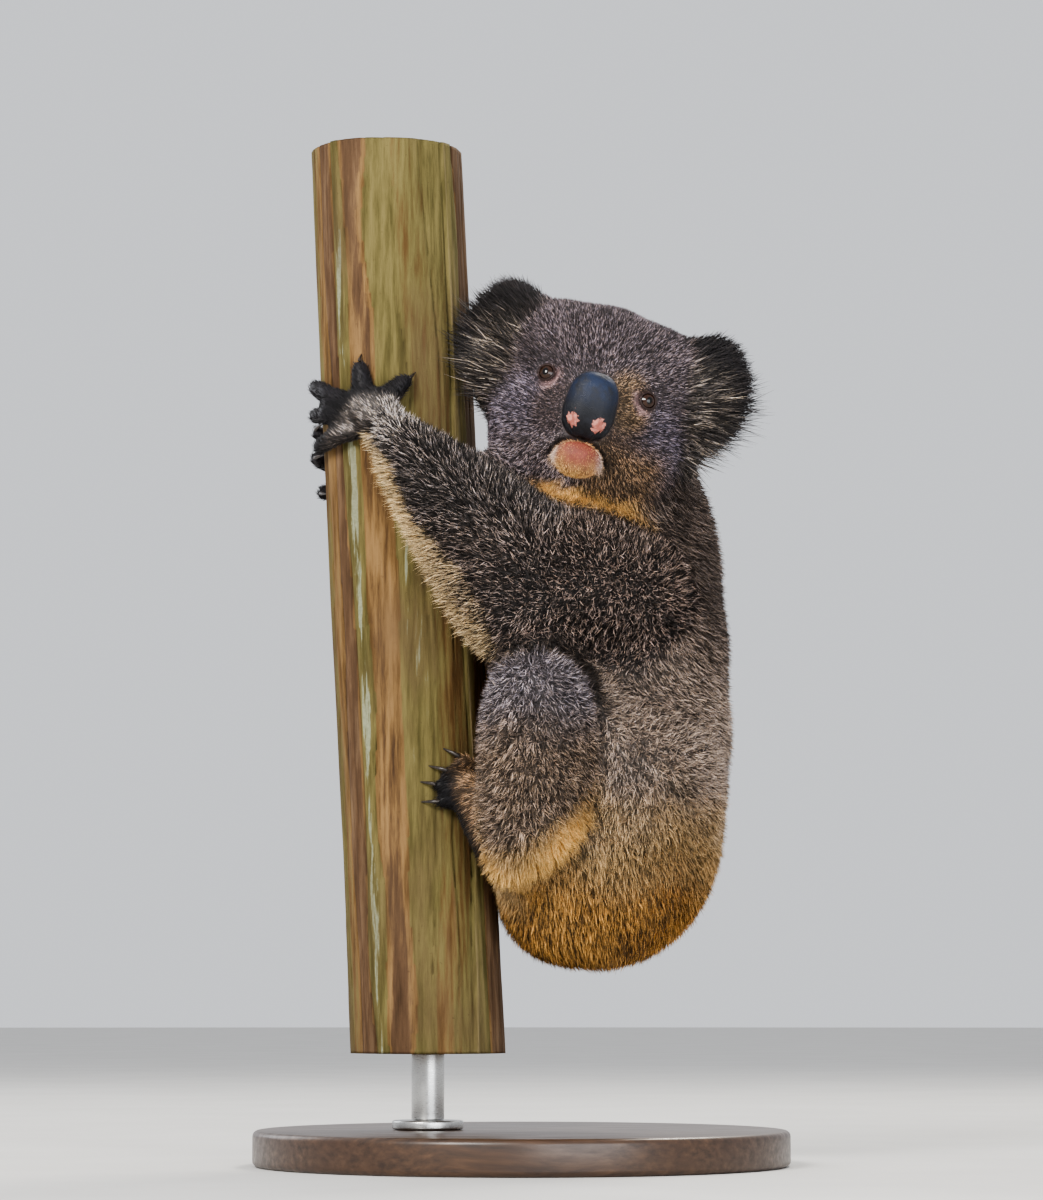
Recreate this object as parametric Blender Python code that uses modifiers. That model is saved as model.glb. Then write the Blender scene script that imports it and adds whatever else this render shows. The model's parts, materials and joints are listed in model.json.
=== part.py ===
"""A koala clinging to a cut length of gum-tree trunk, held by a plain display stand.

Life size, in metres, with +Z up. The trunk stands on its own rod on a round base. The koala is on the
trunk's +X side and faces -X, with its left side towards -Y and its head turned to look along -Y.
The origin is the middle of the base's underside.

The body is blocked in whole, from balls and tapering chains of balls, and made one surface. It is then
parted into head, ears, neck, torso and limbs with thin cuts. Stations are written in millimetres.
"""

import math

import bmesh
import bpy
from mathutils import Matrix, Vector

MM = 0.001
CUT_GAP = 0.0004

# Stand: a round base and one rod up into the trunk's lower end.
BASE_RADIUS = 0.180
BASE_THICKNESS = 0.024
BASE_EDGE = 0.004
ROD_RADIUS = 0.011
COLLAR_RADIUS = 0.024
COLLAR_HEIGHT = 0.006

# Trunk: a leaning length of stem that stays slim all the way up.
TRUNK_BOTTOM = 0.075
TRUNK_TOP = 0.690
TRUNK_FOOT_X = -0.0628
TRUNK_LEAN = -0.0490
TRUNK_RADIUS = 0.050
TRUNK_SIDES = 24
TRUNK_ROWS = 8

# Head: its own frame has +X to the koala's left, +Y to the back of the skull and +Z to the crown.
HEAD_CENTRE = Vector((0.0488, -0.0602, 0.5083))
HEAD_ROLL = math.radians(16)
HEAD_PITCH = math.radians(-6)
HEAD = (Matrix.Translation(HEAD_CENTRE)
        @ Matrix.Rotation(HEAD_ROLL, 4, "Y")
        @ Matrix.Rotation(HEAD_PITCH, 4, "X"))
EYE_SPACING = 0.068
EYE_RADIUS = 0.0075
EYE_DEPTH = -0.0350
EYE_DISH_RADIUS = 0.0125
NOSE_CENTRE = Vector((0.0, -0.0590, -0.0195))
NOSE_RADII = (0.0168, 0.0140, 0.0225)
NOSE_TILT = math.radians(14)
EAR_CENTRE = Vector((0.0700, 0.0080, 0.0305))
EAR_TURN = math.radians(38)
EAR_RADII = (0.0340, 0.0140, 0.0420)
EAR_DISH_RADII = (0.0240, 0.0110, 0.0290)

# Fineness of the blocked-in surfaces, and how many triangles each keeps.
BODY_VOXEL = 0.0038
CELL_VOXEL = 0.0070
PAW_VOXEL = 0.0021
BODY_TRIANGLES = 2150
CELL_TRIANGLES = 60
PAW_TRIANGLES = 210
CELL_MARGIN = 4.0
CUT_SHARE = 0.74

# The right limbs repeat the left ones on the far side and reach a little lower.
RIGHT_ARM_DROP = -24.0
RIGHT_LEG_DROP = -10.0
LIMB_ROOT_X = 62.0
LIMB_REACH = 150.0

# Stations are (x, y, z, radius) along a chain, or (x, y, z, rx, ry, rz) for one ball, in millimetres.
HEAD_BALLS = [
    (0, 6, 6, 61, 60, 64),
    (31, 8, 23, 36, 46, 45),
    (-31, 8, 23, 36, 46, 45),
    (30, 2, -28, 39, 44, 40),
    (-30, 2, -28, 39, 44, 40),
    (0, 4, -42, 45, 42, 33),
    (0, -36, -22, 29, 31, 25),
    (0, -34, 4, 22, 24, 22),
    (0, -46, -51, 17, 14, 15),
]
EAR_BALLS = [
    (72, 8, 30.5, 34, 14, 42),
]
EAR_FRINGE = [(80, 6, 10, 15), (72, 7, -9, 11.5), (65, 8, -20, 8)]
NECK_CHAIN = [(50, -34, 486, 52), (58, -16, 455, 62), (66, -2, 425, 68)]
TORSO_BALLS = [
    (66, 0, 402, 73, 78, 76),
    (65, 0, 346, 79, 84, 76),
    (61, 0, 288, 84, 91, 84),
    (53, 0, 225, 86, 94, 98),
    (30, 0, 192, 53, 76, 63),
]
UPPER_ARM_CHAIN = [(62, -56, 378, 52), (30, -78, 387, 49), (-4, -92, 374, 43)]
FOREARM_CHAIN = [(-4, -92, 376, 42), (-12, -88, 400, 49), (-38, -86, 430, 40), (-64, -78, 460, 29.5),
                 (-86, -69, 486, 19)]
THIGH_CHAIN = [(80, -52, 250, 60), (48, -68, 276, 46), (9, -99, 309, 37)]
SHIN_CHAIN = [(8, -100, 310, 38.5), (9, -93, 264, 41), (7, -86, 228, 37), (-3, -78, 206, 26)]

# Paws: wrist or heel stations in space, then digits as (height, wrap, lift) along the bark.
HAND_CHAIN = [(-84, -70, 482, 17), (-93, -64, 495, 15), (-99, -60, 504, 14)]
HAND_DIGITS = {
    "1": [(506, 12, 9, 7.6), (514, 2, 8, 7.2), (521, -6, 7, 6.6)],
    "2": [(508, 20, 9, 7.6), (520, 23, 8, 7.2), (531, 24, 7, 6.6)],
    "3": [(507, 28, 8, 7.0), (516, 50, 8, 6.5), (524, 73, 7, 6.0)],
    "4": [(500, 27, 8, 7.0), (503, 52, 8, 6.5), (505, 78, 7, 6.0)],
    "5": [(492, 22, 8, 6.8), (487, 46, 8, 6.3), (483, 68, 7, 5.8)],
}
FOOT_CHAIN = [(-5, -74, 205, 23), (-15, -68, 219, 19.5), (-25, -62, 234, 16.5), (-33, -58, 246, 13)]
FOOT_DIGITS = {
    "2": [(251, -50, 9, 6.4), (263, -45, 10, 5.6), (270, -34, 8, 4.8)],
    "3": [(248, -46, 9, 6.4), (257, -38, 10, 5.6), (261, -25, 8, 4.8)],
    "4": [(244, -42, 8, 6.8), (250, -31, 9, 6.0), (252, -19, 7, 5.2)],
    "5": [(238, -43, 8, 6.8), (241, -31, 8, 6.0), (241, -19, 7, 5.0)],
}
HALLUX = [(230, -58, 8, 8.0), (243, -69, 7, 7.0), (254, -75, 7, 6.0)]
CLAW_STATIONS = 5
CLAW_SIDES = 5
HAND_CLAW = {"length": 10.0, "radius": 2.8}
FOOT_CLAW = {"length": 11.0, "radius": 2.8}
CLAW_TIP_RADIUS = 0.35
CLAW_TIP_LIFT = 1.0

COLOURS = {
    "fur_head": (0.115, 0.090, 0.085),
    "fur_ear": (0.150, 0.125, 0.105),
    "fur_neck": (0.300, 0.180, 0.060),
    "fur_body": (0.150, 0.095, 0.050),
    "fur_arm": (0.055, 0.042, 0.036),
    "fur_leg": (0.135, 0.090, 0.060),
    "paw": (0.040, 0.032, 0.030),
    "nose": (0.018, 0.019, 0.024),
    "eye": (0.045, 0.018, 0.010),
    "claw": (0.020, 0.016, 0.014),
    "bark": (0.145, 0.095, 0.045),
    "base": (0.060, 0.042, 0.030),
    "steel": (0.420, 0.420, 0.430),
}


def clear_scene():
    """Remove every object, so that the script starts from an empty scene."""
    for old in list(bpy.data.objects):
        bpy.data.objects.remove(old, do_unlink=True)


def make_collection(name):
    """Add a collection to the scene."""
    collection = bpy.data.collections.new(name)
    bpy.context.scene.collection.children.link(collection)
    return collection


def make_material(name, roughness, metallic=0.0):
    """One Principled material in the part's colour."""
    material = bpy.data.materials.new(name)
    material.use_nodes = True
    shader = material.node_tree.nodes["Principled BSDF"]
    shader.inputs["Base Color"].default_value = (*COLOURS[name], 1.0)
    shader.inputs["Roughness"].default_value = roughness
    shader.inputs["Metallic"].default_value = metallic
    material.diffuse_color = (*COLOURS[name], 1.0)
    return material


def object_from_bmesh(name, bm, collection):
    """Turn a bmesh into an object."""
    mesh = bpy.data.meshes.new(name)
    bm.to_mesh(mesh)
    bm.free()
    made = bpy.data.objects.new(name, mesh)
    collection.objects.link(made)
    return made


def apply_modifiers(target):
    """Freeze the evaluated shape into the object's mesh."""
    graph = bpy.context.evaluated_depsgraph_get()
    frozen = bpy.data.meshes.new_from_object(target.evaluated_get(graph))
    target.modifiers.clear()
    old = target.data
    target.data = frozen
    bpy.data.meshes.remove(old)


def guide(made):
    """Mark an object as a cutter."""
    made.hide_render = True
    made.display_type = "WIRE"
    return made


def boolean(target, cutter, operation):
    """Apply one exact Boolean with a cutter."""
    step = target.modifiers.new(operation, "BOOLEAN")
    step.operation = operation
    step.solver = "EXACT"
    step.object = cutter
    apply_modifiers(target)


def copy_of(source, name, collection):
    """A separate object with its own copy of the mesh."""
    made = bpy.data.objects.new(name, source.data.copy())
    collection.objects.link(made)
    return made


def swollen(source, name, amount, collection):
    """A cutter: a copy of an object, grown along its normals."""
    made = copy_of(source, name, collection)
    step = made.modifiers.new("grow", "DISPLACE")
    step.strength = amount
    step.mid_level = 0.0
    step.direction = "NORMAL"
    apply_modifiers(made)
    return guide(made)


def keep_largest(target):
    """Keep the biggest closed body and drop the crumbs that a cut can leave."""
    bm = bmesh.new()
    bm.from_mesh(target.data)
    bmesh.ops.remove_doubles(bm, verts=bm.verts, dist=1e-6)
    seen = set()
    islands = []
    for start in bm.verts:
        if start in seen:
            continue
        island = []
        stack = [start]
        seen.add(start)
        while stack:
            vert = stack.pop()
            island.append(vert)
            for edge in vert.link_edges:
                other = edge.other_vert(vert)
                if other not in seen:
                    seen.add(other)
                    stack.append(other)
        islands.append(island)
    islands.sort(key=len, reverse=True)
    for island in islands[1:]:
        bmesh.ops.delete(bm, geom=island, context="VERTS")
    bmesh.ops.triangulate(bm, faces=bm.faces)
    bm.to_mesh(target.data)
    bm.free()


def add_ball(bm, centre, radii, placement=Matrix.Identity(4), fineness=3):
    """Add one ball or ellipsoid, in metres."""
    scale = Matrix.Diagonal((*radii, 1.0))
    matrix = placement @ Matrix.Translation(Vector(centre)) @ scale
    bmesh.ops.create_icosphere(bm, subdivisions=fineness, radius=1.0, matrix=matrix)


def add_station_balls(bm, stations, margin=0.0, placement=Matrix.Identity(4)):
    """Add the single balls of a list, in millimetres."""
    for x, y, z, *radii in stations:
        sizes = [(radius + margin) * MM for radius in radii]
        add_ball(bm, (x * MM, y * MM, z * MM), sizes, placement)


def add_chain(bm, stations, margin=0.0, placement=Matrix.Identity(4)):
    """Add a tapering limb: balls set close together along a list of stations, in millimetres."""
    for first, second in zip(stations, stations[1:]):
        start = Vector(first[:3])
        end = Vector(second[:3])
        thinnest = min(first[3], second[3])
        steps = max(2, math.ceil((end - start).length / (0.22 * thinnest)))
        for step in range(steps + 1):
            share = step / steps
            centre = start.lerp(end, share) * MM
            radius = (first[3] + (second[3] - first[3]) * share + margin) * MM
            add_ball(bm, centre, (radius, radius, radius), placement)


def thin_out(target, share):
    """Collapse the flattest triangles and keep a share of them."""
    thin = target.modifiers.new("thin", "DECIMATE")
    thin.ratio = share
    thin.use_collapse_triangulate = True
    apply_modifiers(target)


def one_surface(target, voxel, smoothing, triangles):
    """Fuse overlapping balls into one smooth surface with about the given number of triangles."""
    fuse = target.modifiers.new("fuse", "REMESH")
    fuse.mode = "VOXEL"
    fuse.voxel_size = voxel
    soften = target.modifiers.new("soften", "SMOOTH")
    soften.factor = 0.5
    soften.iterations = smoothing
    apply_modifiers(target)
    target.data.calc_loop_triangles()
    thin_out(target, min(1.0, triangles / len(target.data.loop_triangles)))


def to_right(stations, drop):
    """Repeat a left limb on the far side, reaching lower towards its end."""
    mirrored = []
    for x, y, z, radius in stations:
        mirrored.append((x, -y, z + drop * (LIMB_ROOT_X - x) / LIMB_REACH, radius))
    return mirrored


def trunk_axis(z):
    """The middle of the trunk at a height."""
    return Vector((TRUNK_FOOT_X + TRUNK_LEAN * (z - TRUNK_BOTTOM), 0.0, z))


def trunk_radius(z, angle):
    """The trunk's radius, which swells and sinks a little round and along it."""
    ripple = 0.014 * math.sin(3 * angle + 9 * z) + 0.010 * math.sin(5 * angle - 14 * z + 1.0)
    return TRUNK_RADIUS * (1.0 + ripple)


def on_bark(z, wrap, lift, side=-1):
    """A point over the bark: wrap in degrees from the near side (-Y) towards -X, heights in mm."""
    height = z * MM
    angle = math.radians(wrap)
    reach = trunk_radius(height, side * angle) + lift * MM
    return trunk_axis(height) + Vector((-math.sin(angle) * reach, side * math.cos(angle) * reach, 0.0))


def build_trunk(name, grow, collection):
    """Loft the trunk through its uneven rings, optionally grown outwards for use as a cutter."""
    bm = bmesh.new()
    rings = []
    for row in range(TRUNK_ROWS + 1):
        z = TRUNK_BOTTOM + (TRUNK_TOP - TRUNK_BOTTOM) * row / TRUNK_ROWS
        if row == 0:
            z -= grow
        if row == TRUNK_ROWS:
            z += grow
        ring = []
        for side in range(TRUNK_SIDES):
            turn = 2 * math.pi * side / TRUNK_SIDES
            bearing = math.atan2(math.cos(turn), -math.sin(turn))
            wrap = math.pi - bearing if bearing > 0 else bearing
            radius = trunk_radius(z, wrap) + grow
            ring.append(bm.verts.new(trunk_axis(z) + Vector((math.cos(turn), math.sin(turn), 0)) * radius))
        rings.append(ring)
    for lower, upper in zip(rings, rings[1:]):
        for side in range(TRUNK_SIDES):
            following = (side + 1) % TRUNK_SIDES
            bm.faces.new((lower[side], lower[following], upper[following], upper[side]))
    bm.faces.new(list(reversed(rings[0])))
    bm.faces.new(rings[-1])
    return object_from_bmesh(name, bm, collection)


def build_stand(collection, materials):
    """The round base, a low collar on it, and the rod up to the trunk."""
    bm = bmesh.new()
    bmesh.ops.create_cone(bm, cap_ends=True, segments=40, radius1=BASE_RADIUS, radius2=BASE_RADIUS,
                          depth=BASE_THICKNESS)
    base = object_from_bmesh("stand_base", bm, collection)
    base.location = (0.0, 0.0, BASE_THICKNESS / 2)
    edge = base.modifiers.new("edge", "BEVEL")
    edge.width = BASE_EDGE
    edge.segments = 1
    edge.limit_method = "ANGLE"
    base.data.materials.append(materials["base"])
    foot = trunk_axis(TRUNK_BOTTOM)
    collar_bottom = BASE_THICKNESS + CUT_GAP
    collar_top = collar_bottom + COLLAR_HEIGHT
    rod_bottom = collar_top + CUT_GAP
    rod_top = TRUNK_BOTTOM - CUT_GAP
    for name, radius, low, high in (("stand_collar", COLLAR_RADIUS, collar_bottom, collar_top),
                                    ("stand_rod", ROD_RADIUS, rod_bottom, rod_top)):
        bm = bmesh.new()
        bmesh.ops.create_cone(bm, cap_ends=True, segments=20, radius1=radius, radius2=radius, depth=high - low)
        piece = object_from_bmesh(name, bm, collection)
        piece.location = (foot.x, foot.y, (low + high) / 2)
        piece.data.materials.append(materials["steel"])


def build_ear_form(bm, side, margin=0.0):
    """One ear: a thick round flap turned outwards, with hair hanging from its lower edge."""
    turn = Matrix.Rotation(side * EAR_TURN, 4, "Z")
    for x, y, z, *radii in EAR_BALLS:
        sizes = [(radius + margin) * MM for radius in radii]
        add_ball(bm, (0, 0, 0), sizes, HEAD @ Matrix.Translation((side * x * MM, y * MM, z * MM)) @ turn)
    fringe = [(side * x, y, z, radius) for x, y, z, radius in EAR_FRINGE]
    add_chain(bm, fringe, margin, HEAD)


def build_head_form(bm, margin=0.0):
    """Skull, cheeks, muzzle and chin with their fur."""
    add_station_balls(bm, HEAD_BALLS, margin, HEAD)


# Each named part of the body: how its own balls are added. Earlier parts are cut out first.
PARTS = [
    ("ear_left", "fur_ear", lambda bm, margin: build_ear_form(bm, 1, margin)),
    ("ear_right", "fur_ear", lambda bm, margin: build_ear_form(bm, -1, margin)),
    ("head", "fur_head", build_head_form),
    ("forearm_left", "fur_arm", lambda bm, margin: add_chain(bm, FOREARM_CHAIN, margin)),
    ("forearm_right", "fur_arm", lambda bm, margin: add_chain(bm, to_right(FOREARM_CHAIN, RIGHT_ARM_DROP), margin)),
    ("upper_arm_left", "fur_arm", lambda bm, margin: add_chain(bm, UPPER_ARM_CHAIN, margin)),
    ("upper_arm_right", "fur_arm",
     lambda bm, margin: add_chain(bm, to_right(UPPER_ARM_CHAIN, RIGHT_ARM_DROP), margin)),
    ("shin_left", "fur_leg", lambda bm, margin: add_chain(bm, SHIN_CHAIN, margin)),
    ("shin_right", "fur_leg", lambda bm, margin: add_chain(bm, to_right(SHIN_CHAIN, RIGHT_LEG_DROP), margin)),
    ("thigh_left", "fur_leg", lambda bm, margin: add_chain(bm, THIGH_CHAIN, margin)),
    ("thigh_right", "fur_leg", lambda bm, margin: add_chain(bm, to_right(THIGH_CHAIN, RIGHT_LEG_DROP), margin)),
    ("neck", "fur_neck", lambda bm, margin: add_chain(bm, NECK_CHAIN, margin)),
]


def build_whole_body(collection):
    """The whole koala but its paws, as one surface."""
    bm = bmesh.new()
    add_station_balls(bm, TORSO_BALLS)
    for _, _, add_form in PARTS:
        add_form(bm, 0.0)
    whole = object_from_bmesh("torso", bm, collection)
    one_surface(whole, BODY_VOXEL, 4, BODY_TRIANGLES)
    return whole


def build_eyes(collection, materials):
    """Two eyeballs in the head."""
    eyes = []
    for name, side in (("eye_left", 1), ("eye_right", -1)):
        bm = bmesh.new()
        bmesh.ops.create_uvsphere(bm, u_segments=12, v_segments=7, radius=EYE_RADIUS,
                                  matrix=HEAD @ Matrix.Translation((side * EYE_SPACING / 2, EYE_DEPTH, 0)))
        eye = object_from_bmesh(name, bm, collection)
        eye.data.materials.append(materials["eye"])
        eyes.append(eye)
    return eyes


def build_nose(collection, materials):
    """The bare nose pad: an upright oval that is broader below."""
    bm = bmesh.new()
    bmesh.ops.create_uvsphere(bm, u_segments=14, v_segments=9, radius=1.0)
    for vert in bm.verts:
        broad = 1.0 - 0.05 * vert.co.z
        vert.co.x *= NOSE_RADII[0] * broad
        vert.co.y *= NOSE_RADII[1]
        vert.co.z *= NOSE_RADII[2]
    place = HEAD @ Matrix.Translation(NOSE_CENTRE) @ Matrix.Rotation(NOSE_TILT, 4, "X")
    bmesh.ops.transform(bm, matrix=place, verts=bm.verts)
    nose = object_from_bmesh("nose", bm, collection)
    nose.data.materials.append(materials["nose"])
    return nose


def cut_face(whole, eyes, nose, cutters):
    """Open the ears' hollows, the dishes round the eyes, and the seats of the eyes and the nose."""
    for side in (1, -1):
        bm = bmesh.new()
        turn = Matrix.Rotation(side * EAR_TURN, 4, "Z")
        place = HEAD @ Matrix.Translation((side * EAR_CENTRE.x, EAR_CENTRE.y, EAR_CENTRE.z)) @ turn
        offset = (side * 0.004, -EAR_RADII[1] - 0.0015, 0.001)
        add_ball(bm, offset, EAR_DISH_RADII, place, fineness=2)
        dish = guide(object_from_bmesh("ear_hollow_cutter", bm, cutters))
        boolean(whole, dish, "DIFFERENCE")
        bm = bmesh.new()
        centre = (side * (EYE_SPACING / 2 + 0.003), EYE_DEPTH - 0.0170, 0.0)
        add_ball(bm, centre, (EYE_DISH_RADIUS,) * 3, HEAD, fineness=2)
        dish = guide(object_from_bmesh("eye_dish_cutter", bm, cutters))
        boolean(whole, dish, "DIFFERENCE")
    for piece in (*eyes, nose):
        boolean(whole, swollen(piece, piece.name + "_seat_cutter", CUT_GAP, cutters), "DIFFERENCE")


def part_body(whole, collection, cutters, materials):
    """Part the body into its named lengths with thin cuts. What is left over is the torso."""
    for name, finish, add_form in PARTS:
        bm = bmesh.new()
        add_form(bm, CELL_MARGIN)
        cell = guide(object_from_bmesh(name + "_cell", bm, cutters))
        one_surface(cell, CELL_VOXEL, 4, CELL_TRIANGLES)
        piece = copy_of(whole, name, collection)
        boolean(piece, cell, "INTERSECT")
        keep_largest(piece)
        thin_out(piece, CUT_SHARE)
        piece.data.materials.clear()
        piece.data.materials.append(materials[finish])
        boolean(whole, swollen(cell, name + "_cut", CUT_GAP, cutters), "DIFFERENCE")
    keep_largest(whole)
    thin_out(whole, CUT_SHARE)
    whole.data.materials.clear()
    whole.data.materials.append(materials["fur_body"])


def build_claw(name, digit, size, side, collection, materials):
    """A curved claw that leaves the end of a digit, arches over and comes down to the bark."""
    ahead = Vector(digit[-1][:3]) - Vector(digit[-2][:3])
    z, wrap, lift, radius = digit[-1]
    along_bark = math.hypot(ahead.x, math.radians(ahead.y) * TRUNK_RADIUS / MM)
    rise = ahead.x / along_bark
    sweep = ahead.y / along_bark
    bm = bmesh.new()
    rings = []
    reach = radius * 0.4 + size["length"]
    for station in range(CLAW_STATIONS):
        share = station / (CLAW_STATIONS - 1)
        travel = reach * share
        height = lift + 2.2 * math.sin(math.pi * min(1.0, share * 1.15)) - (lift - CLAW_TIP_LIFT) * share ** 1.6
        girth = size["radius"] * (1 - share) ** 0.8 + CLAW_TIP_RADIUS
        height = max(height, girth + 0.5)
        centre = on_bark(z + rise * travel, wrap + sweep * travel, height, side)
        ahead_point = on_bark(z + rise * (travel + 0.5), wrap + sweep * (travel + 0.5), height, side)
        forward = (ahead_point - centre).normalized()
        outward = (centre - trunk_axis(centre.z)).normalized()
        across = forward.cross(outward).normalized()
        outward = across.cross(forward).normalized()
        ring = []
        for corner in range(CLAW_SIDES):
            turn = 2 * math.pi * corner / CLAW_SIDES
            swing = across * (0.75 * math.cos(turn)) + outward * math.sin(turn)
            ring.append(bm.verts.new(centre + swing * girth * MM))
        rings.append(ring)
    for lower, upper in zip(rings, rings[1:]):
        for corner in range(CLAW_SIDES):
            following = (corner + 1) % CLAW_SIDES
            bm.faces.new((lower[corner], lower[following], upper[following], upper[corner]))
    bm.faces.new(list(reversed(rings[0])))
    bm.faces.new(rings[-1])
    bmesh.ops.recalc_face_normals(bm, faces=bm.faces)
    claw = object_from_bmesh(name, bm, collection)
    claw.data.materials.append(materials["claw"])
    return claw


def lowered(digit, drop):
    """Move a digit's stations down the trunk."""
    return [(z + drop, wrap, lift, radius) for z, wrap, lift, radius in digit]


def build_paw(name, chain, digits, clawless, side, whole_cutter, trunk_cutter, collection, cutters, materials):
    """A paw: palm or sole with its digits, and a claw of its own on each clawed digit."""
    bm = bmesh.new()
    add_chain(bm, chain)
    for digit in [*digits.values(), *clawless]:
        stations = []
        for z, wrap, lift, radius in digit:
            point = on_bark(z, wrap, lift, side) / MM
            stations.append((point.x, point.y, point.z, radius))
        add_chain(bm, [chain[-1][:3] + (stations[0][3],), *stations])
    paw = object_from_bmesh(name, bm, collection)
    one_surface(paw, PAW_VOXEL, 3, PAW_TRIANGLES)
    boolean(paw, whole_cutter, "DIFFERENCE")
    boolean(paw, trunk_cutter, "DIFFERENCE")
    keep_largest(paw)
    thin_out(paw, CUT_SHARE)
    paw.data.materials.clear()
    paw.data.materials.append(materials["paw"])
    return paw


def build_paws(whole, collection, cutters, materials):
    """Both hands and both feet, with their claws."""
    whole_cutter = swollen(whole, "body_cutter", CUT_GAP, cutters)
    trunk_cutter = guide(build_trunk("trunk_cutter", CUT_GAP, cutters))
    limbs = [
        ("hand", HAND_CHAIN, HAND_DIGITS, [], HAND_CLAW, RIGHT_ARM_DROP),
        ("foot", FOOT_CHAIN, FOOT_DIGITS, [HALLUX], FOOT_CLAW, RIGHT_LEG_DROP),
    ]
    for kind, chain, digits, clawless, claw_size, right_drop in limbs:
        for hand_side, side in (("left", -1), ("right", 1)):
            stations = chain if side < 0 else to_right(chain, right_drop)
            drop = 0.0 if side < 0 else stations[-1][2] - chain[-1][2]
            fingers = {key: lowered(digit, drop) for key, digit in digits.items()}
            thumbs = [lowered(digit, drop) for digit in clawless]
            paw = build_paw(f"{kind}_{hand_side}", stations, fingers, thumbs, side, whole_cutter,
                            trunk_cutter, collection, cutters, materials)
            paw_cutter = swollen(paw, f"{kind}_{hand_side}_cutter", CUT_GAP, cutters)
            for key, digit in fingers.items():
                claw = build_claw(f"{kind}_{hand_side}_claw_{key}", digit, claw_size, side, collection, materials)
                boolean(claw, paw_cutter, "DIFFERENCE")
                keep_largest(claw)
                thin_out(claw, CUT_SHARE)


def main():
    clear_scene()
    parts = make_collection("koala_on_trunk")
    cutters = make_collection("cutters")
    materials = {name: make_material(name, 0.85) for name in COLOURS}
    materials["steel"].node_tree.nodes["Principled BSDF"].inputs["Metallic"].default_value = 1.0
    for name, roughness in (("nose", 0.45), ("eye", 0.08), ("claw", 0.35), ("base", 0.5), ("steel", 0.35)):
        materials[name].node_tree.nodes["Principled BSDF"].inputs["Roughness"].default_value = roughness
    build_stand(parts, materials)
    trunk = build_trunk("perch", 0.0, parts)
    trunk.data.materials.append(materials["bark"])
    whole = build_whole_body(parts)
    trunk_cutter = guide(build_trunk("perch_cutter", CUT_GAP, cutters))
    boolean(whole, trunk_cutter, "DIFFERENCE")
    eyes = build_eyes(parts, materials)
    nose = build_nose(parts, materials)
    cut_face(whole, eyes, nose, cutters)
    build_paws(whole, parts, cutters, materials)
    part_body(whole, parts, cutters, materials)


main()
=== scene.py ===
# %% [markdown]
# # A koala on a perch
# A museum koala clings to a cut length of trunk. The solid model gives its outline out to the tips of the
# coat, and this lesson adds what the eye sees: one skin under the coat, eyes, nose and claws, the coat itself
# as thousands of small closed tufts, the bark, and the stand. Everything is in metres, in the model's frame.

# %% Load the solid model
import json
import math

import bmesh
import bpy
import numpy as np
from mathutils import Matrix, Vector
from mathutils.bvhtree import BVHTree


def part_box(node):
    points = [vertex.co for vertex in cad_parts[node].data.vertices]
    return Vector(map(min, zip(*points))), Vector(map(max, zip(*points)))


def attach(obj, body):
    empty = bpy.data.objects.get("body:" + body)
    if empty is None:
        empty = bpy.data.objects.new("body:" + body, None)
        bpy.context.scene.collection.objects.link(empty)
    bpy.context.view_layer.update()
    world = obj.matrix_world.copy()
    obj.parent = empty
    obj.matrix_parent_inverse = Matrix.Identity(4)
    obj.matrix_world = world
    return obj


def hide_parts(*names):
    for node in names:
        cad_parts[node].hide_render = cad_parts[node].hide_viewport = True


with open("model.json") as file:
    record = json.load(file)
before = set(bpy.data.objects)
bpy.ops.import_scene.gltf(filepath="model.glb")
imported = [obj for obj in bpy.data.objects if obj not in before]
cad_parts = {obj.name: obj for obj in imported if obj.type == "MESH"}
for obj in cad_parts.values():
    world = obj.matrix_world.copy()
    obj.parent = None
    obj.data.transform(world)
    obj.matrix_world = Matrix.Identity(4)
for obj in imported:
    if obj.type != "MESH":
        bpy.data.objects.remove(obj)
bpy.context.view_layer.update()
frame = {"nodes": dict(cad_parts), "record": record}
NODES = frame["nodes"]
BODY = "root"
MM = 0.001
FLESH = sorted(s["node"] for s in frame["record"]["subparts"] if s["material_slot"] == "fur")

# %% [markdown]
# ## Camera, floor and light
# The animal is seen from a little below, through a long lens, so its shape is hardly foreshortened. The lens
# could be set by eye, but here it follows from the height that the picture takes in at the trunk.

# %% Camera
LOOK_AT = Vector((0.0, 0.0, 0.381))
CAMERA_DISTANCE = 2.6
CAMERA_RISE = math.radians(-6.0)
PICTURE_HEIGHT = 0.816
SENSOR = 36.0
scene = bpy.context.scene
camera = bpy.data.objects.new("camera", bpy.data.cameras.new("camera"))
scene.collection.objects.link(camera)
back_to_camera = Vector((0.0, -math.cos(CAMERA_RISE), math.sin(CAMERA_RISE)))
camera.location = LOOK_AT + CAMERA_DISTANCE * back_to_camera
camera.rotation_euler = (-back_to_camera).to_track_quat("-Z", "Y").to_euler()
camera.data.sensor_width = SENSOR
camera.data.lens = SENSOR * CAMERA_DISTANCE / PICTURE_HEIGHT
camera.data.clip_start = 0.05
scene.camera = camera
print("lens:", round(camera.data.lens, 1), "mm, camera height:", round(camera.location.z, 3), "m")


# %% [markdown]
# A material is a small graph of nodes. Writing one line a node keeps the graph readable, so a little helper
# adds a node, sets its values and joins its inputs in one go. A colour ramp gets a helper of its own.

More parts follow.
